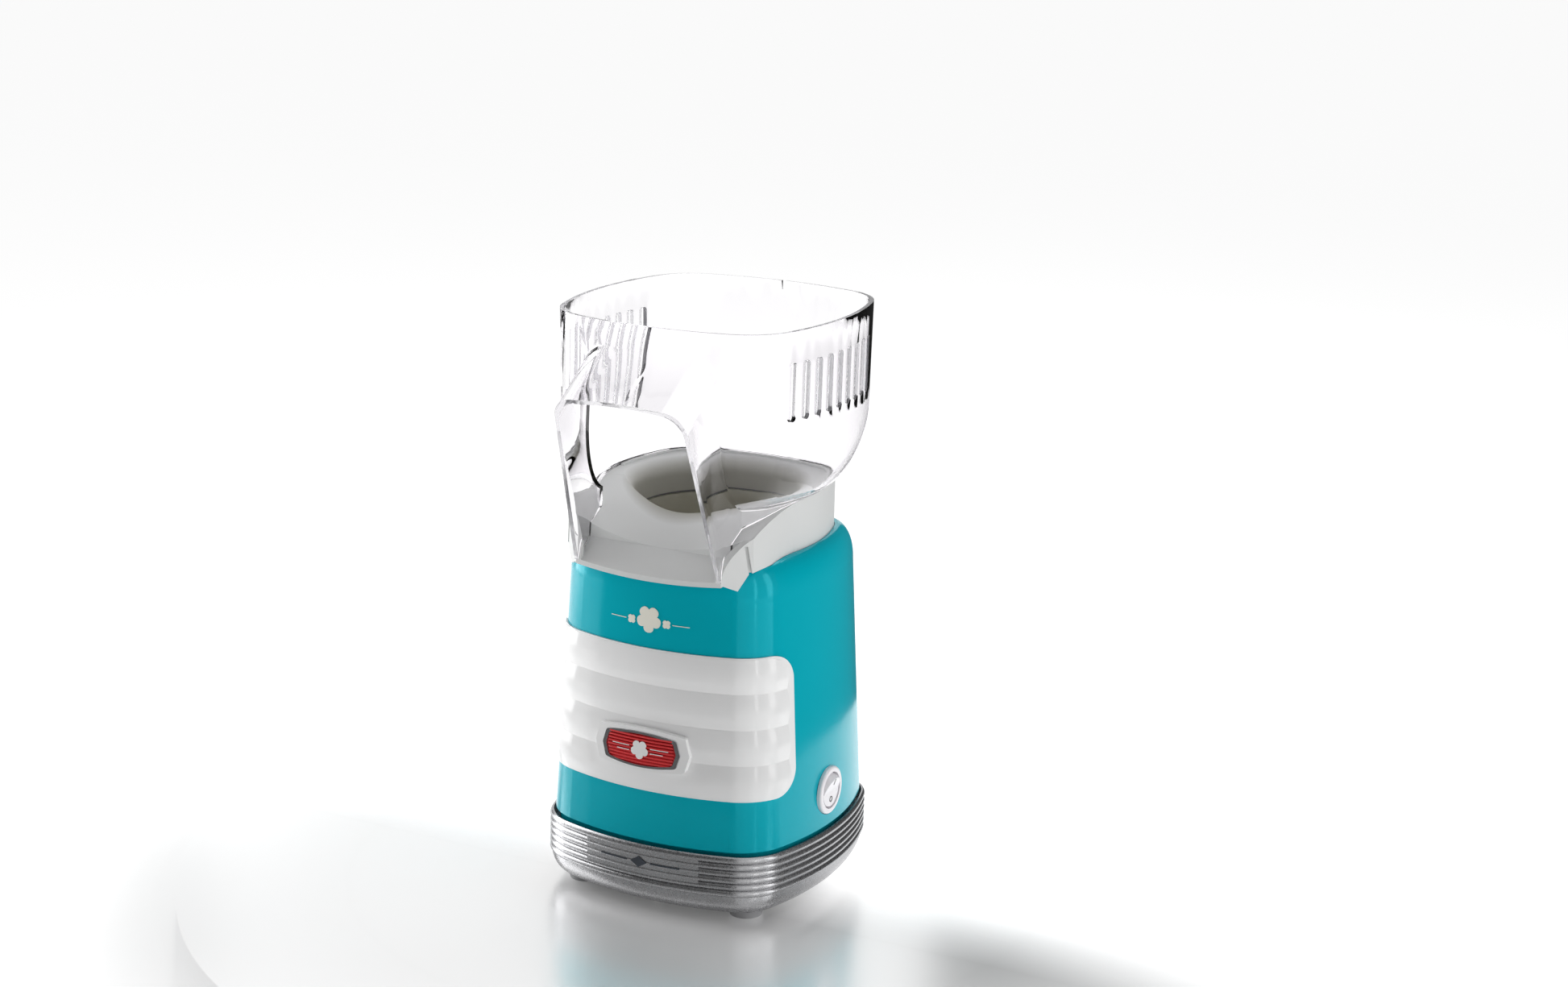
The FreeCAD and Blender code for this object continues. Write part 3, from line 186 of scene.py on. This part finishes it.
def silverPaint():
    # metallic paint: fine flakes of uneven brightness in a satin binder
    material, start, place = startFinish("silverPaint", {"Metallic": 0.92})
    cells = {"Vector": place, "Scale": silver["flakes"]}
    flakes = start.node("ShaderNodeTexVoronoi", cells, output="Color")
    flake = start.node("ShaderNodeSeparateColor", {0: flakes})
    cloud = grainOf(start, place, 45.0, 4.0)
    tone = silver["flakeShare"] * flake + (1 - silver["flakeShare"]) * cloud
    return feedFinish(material, {
        "Base Color": tone.mixed(silver["dark"], silver["bright"]),
        "Roughness": silver["roughness"] + flake * 0.08,
        "Normal": bumpOf(start, flake, 0.000006, 0.25),
    })


clearWall = {
    "faceOn": ((0.968, 0.958, 0.974, 1), (0.984, 0.975, 0.988, 1)),
    "edgeOn": (0.62, 0.57, 0.68, 1),    # seen edge-on, the wall is thick and takes a violet grey
    "turning": (0.78, 0.97),            # where that grey starts and is full, 1 being edge-on
    "frost": ((0.55, 0.54, 0.58, 1), (0.90, 0.89, 0.93, 1)),
    "frostShare": 0.62,                 # how much of the frost a trimmed edge shows
}


def clearPlastic():
    # clear walls; the "cut" attribute marks trimmed edges, which look frosted
    material, start, place = startFinish("clearPlastic", {
        "Transmission Weight": 1.0, "IOR": 1.26, "Specular IOR Level": 0.35})
    haze = grainOf(start, place, 60.0, 3.0)
    facing = start.node("ShaderNodeLayerWeight", {"Blend": 0.5}, output="Facing")
    glancing = facing.between(*clearWall["turning"])
    feedFinish(material, {
        "Base Color": glancing.mixed(haze.mixed(*clearWall["faceOn"]), clearWall["edgeOn"]),
        "Roughness": haze * 0.03,
    })
    wall = Wire(start.tree, start.tree.nodes["Principled BSDF"].outputs["BSDF"])
    speckle = grainOf(start, place, 900.0, 3.0)
    frosted = start.node("ShaderNodeBsdfPrincipled", {
        "Base Color": speckle.mixed(*clearWall["frost"]), "Roughness": 0.3, "Alpha": 0.55})
    cut = start.node("ShaderNodeAttribute", settings={"attribute_name": "cut"}, output="Fac")
    frost = cut * clearWall["frostShare"]
    blended = start.node("ShaderNodeMixShader", {0: frost, 1: wall, 2: frosted})
    start.tree.links.new(blended.socket, start.tree.nodes["Material Output"].inputs["Surface"])
    return material


collarGrey = {
    "grey": ((0.67, 0.68, 0.675, 1), (0.71, 0.72, 0.715, 1)),
    # painted shade inside the round mouth: a darker brown-grey towards the bore
    "paintedShade": ((0.33, 0.325, 0.29, 1), (0.38, 0.375, 0.335, 1)),
    "axis": 0.0135,                 # y of the round mouth's axis
    "mouth": (0.0455, 0.0392),      # radii where the painted shade starts and where it is full
}


def collarPlastic():
    # light-grey moulding, with painted shade darkening it inside its round mouth
    material, start, place = startFinish("collarPlastic", {})
    drift = grainOf(start, place, 18.0)
    fine = grainOf(start, place, 420.0, 3.0)
    centred = start.node("ShaderNodeMapping", {
        "Vector": place, "Location": (0, -collarGrey["axis"], 0), "Scale": (1, 1, 0)})
    fromAxis = start.node("ShaderNodeVectorMath", {0: centred}, {"operation": "LENGTH"}, "Value")
    # painted shade: 0 at the mouth's rounding, 1 down in the bore
    boreShade = fromAxis.between(*collarGrey["mouth"])
    return feedFinish(material, {
        "Base Color": boreShade.mixed(drift.mixed(*collarGrey["grey"]), drift.mixed(*collarGrey["paintedShade"])),
        "Roughness": 0.36 + fine * 0.12,
        "Normal": bumpOf(start, fine, 0.00003),
    })


chamberTone = {
    "dull": ((0.50, 0.49, 0.42, 1), (0.68, 0.67, 0.59, 1)),
    # painted shade deep in the chamber, darker towards the bottom
    "paintedShade": ((0.36, 0.34, 0.27, 1), (0.48, 0.46, 0.38, 1)),
    "heights": (0.12, 0.185),       # the painted shade is full at the first and gone at the second
}


def chamberMetal():
    # anodised aluminium, rubbed dull, with painted shade darkening it towards the bottom
    material, start, place = startFinish("chamberMetal", {"Metallic": 0.55})
    height = start.node("ShaderNodeSeparateXYZ", {0: place}, output=2)
    # painted shade: 0 low in the chamber, 1 near its top
    outOfShade = height.between(*chamberTone["heights"])
    stain = grainOf(start, place, 40.0, 5.0)
    rings = grainOf(start, place, 120.0, 2.0, (1, 1, 6))
    return feedFinish(material, {
        "Base Color": outOfShade.mixed(stain.mixed(*chamberTone["paintedShade"]), stain.mixed(*chamberTone["dull"])),
        "Roughness": 0.34 + rings * 0.18,
        "Normal": bumpOf(start, rings, 0.00004),
    })


# plastics: colour, roughness, size and depth of the grain, colour spread
# metals: colour, roughness, stretch and depth of the brushing, colour spread
finishes = {
    "silver_paint": silverPaint(),
    "dark_plastic": mouldedPlastic("darkPlastic", (0.03, 0.03, 0.033), 0.5, 700.0, 0.00003),
    "grey_rubber": mouldedPlastic("greyRubber", (0.32, 0.32, 0.33), 0.7, 500.0, 0.00004),
    "screw_steel": sheetMetal("zincSteel", (0.62, 0.62, 0.60), 0.32, (1, 1, 0.1), 0.00001),
    "turquoise": glossPaint("turquoiseGloss"),
    "white_gloss": glossPaint("whiteGloss"),
    "chrome_trim": sheetMetal("chromeTrim", (0.82, 0.82, 0.84), 0.09, (1, 1, 1), 0.000002, 0.03),
    "red_label": mouldedPlastic("redLacquer", (0.60, 0.012, 0.02), 0.22, 400.0, 0.000008),
    "light_grey": collarPlastic(),
    "clear_plastic": clearPlastic(),
    "chamber_aluminium": chamberMetal(),
    "silicone": mouldedPlastic("silicone", (0.16, 0.16, 0.165), 0.5, 300.0, 0.00002),
    "galvanised": sheetMetal("galvanisedSteel", (0.60, 0.61, 0.62), 0.38, (1, 1, 1), 0.00001, 0.2),
    "phenolic": mouldedPlastic("phenolic", (0.035, 0.022, 0.016), 0.42, 500.0, 0.00003, 0.2),
    "blade_plastic": mouldedPlastic("bladePlastic", (0.07, 0.07, 0.075), 0.4, 600.0, 0.00002),
    "motor_steel": sheetMetal("motorSteel", (0.50, 0.51, 0.52), 0.3, (1, 1, 0.05), 0.00001),
    "bronze": sheetMetal("sinteredBronze", (0.50, 0.34, 0.16), 0.4, (1, 1, 1), 0.00003, 0.15),
    "mica": mouldedPlastic("micaBoard", (0.46, 0.38, 0.24), 0.35, 200.0, 0.00004, 0.2),
    "heater_alloy": sheetMetal("heaterAlloy", (0.26, 0.22, 0.20), 0.5, (1, 1, 1), 0.00001, 0.25),
    "circuit_board": mouldedPlastic("circuitBoard", (0.02, 0.16, 0.06), 0.3, 400.0, 0.00001),
    "switch_white": mouldedPlastic("switchWhite", (0.86, 0.84, 0.87), 0.24, 500.0, 0.000004, 0.02),
    "brass_tabs": sheetMetal("tinnedBrass", (0.66, 0.56, 0.30), 0.28, (1, 0.1, 1), 0.00001),
    "wire_brown": mouldedPlastic("wireBrown", (0.12, 0.045, 0.02), 0.45, 400.0, 0.00001),
    "wire_blue": mouldedPlastic("wireBlue", (0.02, 0.07, 0.28), 0.45, 400.0, 0.00001),
}
slotOf = {part["node"]: part["material_slot"] for part in frame["record"]["subparts"]}
for name, node in frame["nodes"].items():
    for slot in node.material_slots:
        slot.material = finishes[slotOf[name]]
inks = {
    "cream": mouldedPlastic("creamInk", (0.86, 0.84, 0.74), 0.35, 500.0, 0.000006, 0.03),
    "white": mouldedPlastic("whiteInk", (0.88, 0.88, 0.88), 0.3, 500.0, 0.000006, 0.03),
    "slate": mouldedPlastic("slateInk", (0.035, 0.045, 0.06), 0.35, 500.0, 0.000006, 0.1),
    "black": mouldedPlastic("blackInk", (0.012, 0.012, 0.014), 0.4, 500.0, 0.000006, 0.1),
    # ribs: the label's red plastic, made lighter as a painted highlight along the ribs
    "ribHighlightRed": mouldedPlastic("ribbedRedHighlight", (0.74, 0.045, 0.05), 0.16, 400.0, 0.000008, 0.04),
}
print("finishes:", len(finishes) + len(inks))


def picked(piece):
    # selects this piece alone and makes it the active one
    bpy.ops.object.select_all(action="DESELECT")
    piece.select_set(True)
    bpy.context.view_layer.objects.active = piece


def editing(piece):
    picked(piece)
    bpy.ops.object.mode_set(mode="EDIT")


def editingAll(piece):
    editing(piece)
    bpy.ops.mesh.select_all(action="SELECT")


def doneEditing():
    bpy.ops.object.mode_set(mode="OBJECT")


def started(name):
    # names the primitive just added and bakes its place into its mesh
    piece = bpy.context.object
    piece.name = name
    piece.data.name = name
    bpy.ops.object.transform_apply(location=True, rotation=True, scale=True)
    return piece


def applied(piece, kind, **settings):
    # adds one modifier and applies it
    picked(piece)
    modifier = piece.modifiers.new(kind.title(), kind)
    for name, value in settings.items():
        setattr(modifier, name, value)
    bpy.ops.object.modifier_apply(modifier=modifier.name)


def joinedInto(name, pieces):
    picked(pieces[0])
    for piece in pieces:
        piece.select_set(True)
    bpy.ops.object.join()
    pieces[0].name = name
    pieces[0].data.name = name
    return pieces[0]


def finished(piece, finish, body):
    # gives a finished piece its material and the body that it moves with
    piece.data.materials.clear()
    piece.data.materials.append(finish)
    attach(piece, body)


hoodShell = {
    "round": 0.00035,              # softening of the moulded edges
    "crease": 38,                  # degrees from which an edge is softened
    "smooth": 32,                  # degrees up to which shading runs on
    "cutReach": 0.0004,            # how near to the top a face of the trimmed rim lies
    "chuteFoot": (-0.0541, 0.1685),    # y and z of the chute's trimmed mouth
    "chuteTop": (-0.0815, 0.248),
    "chuteBack": -0.04,            # the mouth lies in front of this y
    "ventDepth": 0.006,            # the vents lie this near to the side walls
    "ventFace": 0.00012,           # area under which a face can be a vent's side
}


def markCuts(shell):
    # marks the trimmed faces: the rim, the sides of the vents and the chute's mouth
    top = max(corner[2] for corner in shell.bound_box)
    footY, footZ = hoodShell["chuteFoot"]
    topY, topZ = hoodShell["chuteTop"]
    lean = Vector((0, topZ - footZ, footY - topY)).normalized()
    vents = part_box("hood")[1][0] - hoodShell["ventDepth"]
    cut = shell.data.attributes.new("cut", "FLOAT", "FACE")
    for face, mark in zip(shell.data.polygons, cut.data):
        rim = face.center.z > top - hoodShell["cutReach"] and abs(face.normal.z) > 0.9
        beside = abs(face.center.x) > vents and abs(face.normal.x) < 0.25
        vent = beside and face.area < hoodShell["ventFace"]
        chute = abs(face.normal.dot(lean)) > 0.985 and face.center.y < hoodShell["chuteBack"]
        mark.value = 1.0 if rim or vent or chute else 0.0


def makeHoodShell():
    # a merged copy of the hood with softened edges takes its place
    source = frame["nodes"]["hood"]
    shell = source.copy()
    shell.data = source.data.copy()
    shell.name = "hoodShell"
    shell.data.name = "hoodShell"
    bpy.context.scene.collection.objects.link(shell)
    shell.parent = None
    editingAll(shell)
    bpy.ops.mesh.customdata_custom_splitnormals_clear()
    bpy.ops.mesh.remove_doubles(threshold=0.00001)
    bpy.ops.mesh.dissolve_limited(angle_limit=math.radians(0.6))
    doneEditing()
    applied(shell, "BEVEL", width=hoodShell["round"], segments=2, limit_method="ANGLE",
            angle_limit=math.radians(hoodShell["crease"]), use_clamp_overlap=True, harden_normals=False)
    markCuts(shell)
    editingAll(shell)
    bpy.ops.mesh.quads_convert_to_tris()
    doneEditing()
    bpy.ops.object.shade_smooth_by_angle(angle=math.radians(hoodShell["smooth"]))
    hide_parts("hood")
    finished(shell, finishes["clear_plastic"], "hood")
    print("hood shell:", len(shell.data.polygons), "faces")


makeHoodShell()


facingFront = (math.pi / 2, 0, 0)
puffRim = {"steps": 12, "dent": 0.3, "power": 1.5}    # per lobe, share of the radius, sharpness


def flatDisc(name, radius, place, sides=28):
    # upright, facing the front
    bpy.ops.object.select_all(action="DESELECT")
    bpy.ops.mesh.primitive_circle_add(vertices=sides, radius=radius, fill_type="NGON",
                                      location=place, rotation=facingFront)
    return started(name)


def clusterOutline(name, radius, lobes, place):
    # flat disc with its rim drawn in between round lobes
    steps = puffRim["steps"]
    piece = flatDisc(name, radius, place, steps * lobes)
    for step in range(steps):
        valley = (1 - abs(math.sin(math.pi * step / steps))) ** puffRim["power"]
        share = 1 - puffRim["dent"] * valley
        for index, vertex in enumerate(piece.data.vertices):
            vertex.select = index % steps == step
        for edge in piece.data.edges:
            edge.select = False
        for face in piece.data.polygons:
            face.select = False
        editing(piece)
        bpy.ops.mesh.select_mode(type="VERT")
        bpy.ops.transform.resize(value=(share, share, share), center_override=Vector(place))
        doneEditing()
    return piece


def flatBar(name, length, height, place, taper=1.0):
    # upright strip facing the front; its ends may taper to points
    bpy.ops.object.select_all(action="DESELECT")
    bpy.ops.mesh.primitive_grid_add(x_subdivisions=24, y_subdivisions=2, size=1,
                                    location=place, rotation=facingFront)
    piece = bpy.context.object
    piece.scale = (length, height, 1)
    started(name)
    nearEnd = length * 0.49
    for vertex in piece.data.vertices:
        vertex.select = abs(vertex.co.x - place[0]) > nearEnd
    editing(piece)
    bpy.ops.mesh.select_mode(type="VERT")
    bpy.ops.transform.resize(value=(1, 1, taper), center_override=Vector(place))
    doneEditing()
    return piece


pressReach = 0.02    # how far a flat piece may be from the surface that it is pressed onto


def laidOn(piece, node, lift, thick, way="Y"):
    # presses a flat piece onto a CAD surface and gives it the thickness of an ink layer
    applied(piece, "SHRINKWRAP", target=frame["nodes"][node], wrap_method="PROJECT",
            use_project_x=way == "X", use_project_y=way == "Y", use_project_z=False,
            use_negative_direction=True, use_positive_direction=True, project_limit=pressReach, offset=lift)
    applied(piece, "SOLIDIFY", thickness=thick, offset=0.0)


inkLift = 0.00018    # how far a mark stands off its surface, so the two don't meet

blossom = {
    "place": (0.0, -0.062, 0.1435),
    "puff": 0.0064,         # radii of the middle puff and of the small ones
    "smallPuff": 0.0022,
    "gap": 0.0028,          # from the middle puff's edge to a small one's centre
    "space": 0.0008,        # between a small puff and its bar
    "bar": (0.0085, 0.0012),
    "taper": 0.3,
    "drop": 0.0012,         # the small puffs and the bars sit this much lower
    "thick": 0.00016,
}


def makeBlossom():
    # popped-corn mark on the painted front: a lobed puff between two small ones and two bars
    x, y, z = blossom["place"]
    low = z - blossom["drop"]
    length, height = blossom["bar"]
    parts = [clusterOutline("puff", blossom["puff"], 5, (x, y, z))]
    for side in (-1, 1):
        puffX = x + side * (blossom["puff"] + blossom["gap"])
        barX = puffX + side * (blossom["smallPuff"] + length / 2 + blossom["space"])
        parts.append(clusterOutline("smallPuff", blossom["smallPuff"], 4, (puffX, y, low)))
        parts.append(flatBar("bar", length, height, (barX, y, low), blossom["taper"]))
    for part in parts:
        laidOn(part, "body_shell", inkLift, blossom["thick"])
    mark = joinedInto("frontMark", parts)
    finished(mark, inks["cream"], "housing")


plaqueMark = {
    "drop": 0.0085,         # below the top of the base
    "ahead": 0.001,         # start in front of the plate, before pressing on
    "bar": (0.0150, 0.0019),
    "taper": 0.4,
    "lozenge": 0.0044,      # half its width
    "squash": 0.62,         # the lozenge's height against its width
    "gap": 0.0018,
    "thick": 0.00016,
}


def makePlaqueMark():
    # a lozenge between two bars on the smooth plate of the base
    low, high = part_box("base_ring")
    y = low[1] - plaqueMark["ahead"]
    z = high[2] - plaqueMark["drop"]
    length, height = plaqueMark["bar"]
    parts = []
    for side in (-1, 1):
        barX = side * (plaqueMark["lozenge"] + plaqueMark["gap"] + length / 2)
        parts.append(flatBar("bar", length, height, (barX, y, z), plaqueMark["taper"]))
    lozenge = flatDisc("lozenge", plaqueMark["lozenge"], (0, y, z), 4)
    editingAll(lozenge)
    bpy.ops.transform.resize(value=(1, 1, plaqueMark["squash"]), center_override=Vector((0, y, z)))
    doneEditing()
    parts.append(lozenge)
    for part in parts:
        laidOn(part, "base_ring", inkLift, plaqueMark["thick"])
    mark = joinedInto("plaqueMark", parts)
    finished(mark, inks["slate"], "housing")


label = {
    "ribs": 9,
    "pitch": 0.00158,
    "radius": 0.0005,       # of a rib's round section
    "bend": 0.1375,         # radius of the front's own bend
    "half": 0.0176,         # half the length of the middle rib
    "shorter": 0.18,        # loss of half length per rise, towards the label's top and bottom
}


def makeLabelRibs():
    # horizontal ribs across the red label, each spun round the front's bend
    low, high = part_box("badge_label")
    middle = (low[2] + high[2]) / 2
    centreY = low[1] + label["bend"]
    ribs = []
    for number in range(label["ribs"]):
        rise = (number - (label["ribs"] - 1) / 2) * label["pitch"]
        half = label["half"] - label["shorter"] * abs(rise)
        turn = math.asin(half / label["bend"])
        startY = centreY - label["bend"] * math.cos(turn)
        bpy.ops.object.select_all(action="DESELECT")
        bpy.ops.mesh.primitive_circle_add(vertices=10, radius=label["radius"], fill_type="NGON",
                                          location=(-half, startY, middle + rise),
                                          rotation=(0, math.pi / 2, -turn))
        rib = started("rib")
        editingAll(rib)
        bpy.ops.mesh.spin(steps=20, angle=-2 * turn, center=(0, centreY, 0), axis=(0, 0, 1))
        bpy.ops.mesh.select_all(action="SELECT")
        bpy.ops.mesh.remove_doubles(threshold=0.000001)
        bpy.ops.mesh.normals_make_consistent(inside=False)
        doneEditing()
        ribs.append(rib)
    ribbed = joinedInto("labelRibs", ribs)
    bpy.ops.object.shade_smooth_by_angle(angle=math.radians(50))
    finished(ribbed, inks["ribHighlightRed"], "housing")


emblem = {
    "ahead": 0.002,
    "puff": 0.0046,
    "gap": 0.001,           # between the puff and the bars
    "bar": (0.0092, 0.0011),
    "lowShare": 0.72,       # length of the low bars against the high ones
    "row": 0.0011,          # half the distance between the two rows
    "taper": 0.3,
    "proud": 0.0009,        # stands clear of the ribs
    "thick": 0.0003,
}


def makeEmblem():
    # a lobed puff with two bars on each side, in the middle of the label
    low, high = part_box("badge_label")
    y = low[1] - emblem["ahead"]
    z = (low[2] + high[2]) / 2
    highLength, height = emblem["bar"]
    parts = [clusterOutline("puff", emblem["puff"], 5, (0, y, z))]
    for side in (-1, 1):
        for row, length in ((-1, highLength * emblem["lowShare"]), (1, highLength)):
            barX = side * (emblem["puff"] + emblem["gap"] + length / 2)
            place = (barX, y, z + row * emblem["row"])
            parts.append(flatBar("bar", length, height, place, emblem["taper"]))
    for part in parts:
        laidOn(part, "badge_label", emblem["proud"], emblem["thick"])
    mark = joinedInto("labelEmblem", parts)
    finished(mark, inks["white"], "housing")


rockerMarks = {
    "rise": 0.0045,         # of the bar above the rocker's middle, and of the ring below it
    "bar": 0.0030,
    "ring": 0.00145,
    "line": 0.00042,        # width of the strokes
    "ahead": 0.002,
    "lift": 0.00012,
    "thick": 0.0001,
}


def makeRockerMarks():
    # the usual bar for on, above, and ring for off, below
    low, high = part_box("switch_rocker")
    middle = (Vector(low) + Vector(high)) / 2
    bar = flatBar("bar", rockerMarks["line"], rockerMarks["bar"], (0, 0, 0))
    ring = flatDisc("ring", rockerMarks["ring"], (0, 0, 0))
    editingAll(ring)
    bpy.ops.mesh.inset(thickness=rockerMarks["line"])
    bpy.ops.mesh.delete(type="FACE")
    doneEditing()
    for part, rise in ((bar, rockerMarks["rise"]), (ring, -rockerMarks["rise"])):
        part.rotation_euler = (0, 0, math.pi / 2)
        part.location = (high[0] + rockerMarks["ahead"], middle.y, middle.z + rise)
        picked(part)
        bpy.ops.object.transform_apply(location=True, rotation=True, scale=True)
        laidOn(part, "switch_rocker", rockerMarks["lift"], rockerMarks["thick"], "X")
    marks = joinedInto("rockerMarks", [bar, ring])
    finished(marks, inks["black"], "switch_rocker")


makeBlossom()
makePlaqueMark()
makeLabelRibs()
makeEmblem()
makeRockerMarks()
print("marks made")


studio = {
    "worldGlow": 1.08,      # what the camera, gloss and clear plastic see
    "worldFill": 0.07,      # what matt surfaces get
    "middle": (0, 0, 0.14),    # what the softboxes face
    "boxes": {
        # azimuth from the front towards +X, elevation, distance, width, height, power
        "leftBox": (-80, 12, 0.70, 0.42, 0.70, 4.1),
        "rightBox": (96, 14, 1.00, 0.50, 0.80, 3.2),
        "stripBox": (58, 8, 0.80, 0.055, 0.60, 0.42),
        "topBox": (170, 58, 1.10, 0.90, 0.60, 4.2),
    },
    "cards": {
        # radius, first and last azimuth, low and high edge, grey; only gloss sees them
        "frontCard": (0.25, -50, 26, 0.0005, 0.42, 0.10),
        "leftCard": (1.10, -128, -100, 0.14, 0.80, 0.05),
        "rightCard": (0.30, 90, 180, 0.0005, 0.45, 0.06),
    },
    "floor": 14.0,
    "polish": 0.52,         # share of gloss where the floor is polished
    "polishFades": (0.36, 0.17),    # distances from the origin: none beyond, full within
    "polishFront": (0.03, -0.03),   # y: none behind the first, full before the second
    "floorLift": (0.90, 0.24),      # own glow of the plain and of the polished floor
}


def onOrbit(azimuth, elevation, distance, around):
    turn = math.radians(azimuth)
    rise = math.radians(elevation)
    way = Vector((math.sin(turn) * math.cos(rise), -math.cos(turn) * math.cos(rise), math.sin(rise)))
    return around + way * distance


def addSoftbox(name, azimuth, elevation, distance, width, height, power):
    around = Vector(studio["middle"])
    bpy.ops.object.light_add(type="AREA", location=onOrbit(azimuth, elevation, distance, around))
    light = bpy.context.object
    light.name = name
    light.rotation_euler = (light.location - around).to_track_quat("Z", "Y").to_euler()
    light.data.shape = "RECTANGLE"
    light.data.size = width
    light.data.size_y = height
    light.data.energy = power
    light.visible_camera = False
    light.visible_transmission = False


def showAs(tree, shader):
    tree.links.new(shader.socket, tree.nodes["Material Output"].inputs["Surface"])


def addCard(name, radius, first, last, low, high, grey):
    # part of an upright ring round the object
    bpy.ops.object.select_all(action="DESELECT")
    bpy.ops.mesh.primitive_cylinder_add(vertices=180, radius=radius, depth=high - low,
                                        end_fill_type="NOTHING", location=(0, 0, (low + high) / 2))
    card = started(name)
    editing(card)
    bpy.ops.mesh.select_all(action="DESELECT")
    doneEditing()
    for face in card.data.polygons:
        azimuth = math.degrees(math.atan2(face.center.x, -face.center.y))
        face.select = not first < azimuth < last
    editing(card)
    bpy.ops.mesh.delete(type="FACE")
    doneEditing()
    finish, start = startFinish(name + "Grey", {})[:2]
    showAs(finish.node_tree, start.node("ShaderNodeEmission", {"Color": (grey, grey, grey, 1)}))
    card.data.materials.append(finish)
    card.visible_camera = False
    card.visible_diffuse = False
    card.visible_transmission = False
    card.visible_shadow = False


def makeWorld():
    # white surroundings that light matt surfaces only a little
    world = bpy.data.worlds.new("studioWorld")
    bpy.context.scene.world = world
    world.use_nodes = True
    start = Wire(world.node_tree)
    seen = start.node("ShaderNodeLightPath", output="Is Camera Ray")
    through = start.node("ShaderNodeLightPath", output="Is Transmission Ray")
    mirrored = start.node("ShaderNodeLightPath", output="Is Glossy Ray")
    bright = start.math("MAXIMUM", start.math("MAXIMUM", seen, through), mirrored)
    glow = studio["worldFill"] + bright * (studio["worldGlow"] - studio["worldFill"])
    background = world.node_tree.nodes["Background"].inputs
    world.node_tree.links.new(glow.socket, background["Strength"])
    background["Color"].default_value = (1, 1, 1, 1)


def makeFloor():
    # white floor, polished in front of the object; the polish fades out away from it
    bpy.ops.mesh.primitive_plane_add(size=studio["floor"])
    floor = bpy.context.object
    floor.name = "floor"
    finish, start, place = startFinish("glossyFloor", {})
    shine = start.node("ShaderNodeBsdfGlossy", {"Roughness": 0.24, "Color": (1, 1, 1, 1)})
    plain = start.node("ShaderNodeBsdfDiffuse", {"Color": (0.8, 0.8, 0.8, 1)})
    reach = start.node("ShaderNodeVectorMath", {0: place}, {"operation": "LENGTH"}, "Value")
    depth = start.node("ShaderNodeSeparateXYZ", {0: place}, output=1)
    polished = reach.between(*studio["polishFades"]) * depth.between(*studio["polishFront"])
    plainGlow, polishedGlow = studio["floorLift"]
    lift = start.node("ShaderNodeEmission", {"Strength": plainGlow - polished * (plainGlow - polishedGlow)})
    lit = start.node("ShaderNodeAddShader", {0: plain, 1: lift})
    share = polished * studio["polish"]
    showAs(finish.node_tree, start.node("ShaderNodeMixShader", {0: share, 1: lit, 2: shine}))
    floor.data.materials.append(finish)


for name, values in studio["boxes"].items():
    addSoftbox(name, *values)
for name, values in studio["cards"].items():
    addCard(name, *values)
makeWorld()
makeFloor()

# degrees for the angles, metres for the places; right and up slide the camera in its own plane
cameraAt = {"azimuth": 26.547, "elevation": 15.073, "roll": 1.419, "distance": 1.32772,
            "right": 0.036598, "up": 0.149319, "lens": 61.98, "aim": (0.0, 0.0115, 0.0345)}


def placeCamera():
    turn = math.radians(cameraAt["azimuth"])
    rise = math.radians(cameraAt["elevation"])
    roll = math.radians(cameraAt["roll"])
    back = onOrbit(cameraAt["azimuth"], cameraAt["elevation"], 1.0, Vector())
    level = Vector((math.cos(turn), math.sin(turn), 0))
    upright = back.cross(level)
    right = level * math.cos(roll) + upright * math.sin(roll)
    up = upright * math.cos(roll) - level * math.sin(roll)
    bpy.ops.object.camera_add()
    camera = bpy.context.object
    camera.data.lens = cameraAt["lens"]
    camera.data.clip_end = 60
    aside = right * cameraAt["right"] + up * cameraAt["up"]
    place = Vector(cameraAt["aim"]) + aside + back * cameraAt["distance"]
    turned = Matrix((right, up, back)).transposed().to_4x4()
    camera.matrix_world = Matrix.Translation(place) @ turned
    bpy.context.scene.camera = camera


placeCamera()
bpy.context.scene.view_settings.view_transform = "Standard"
print("stage, light and camera ready")
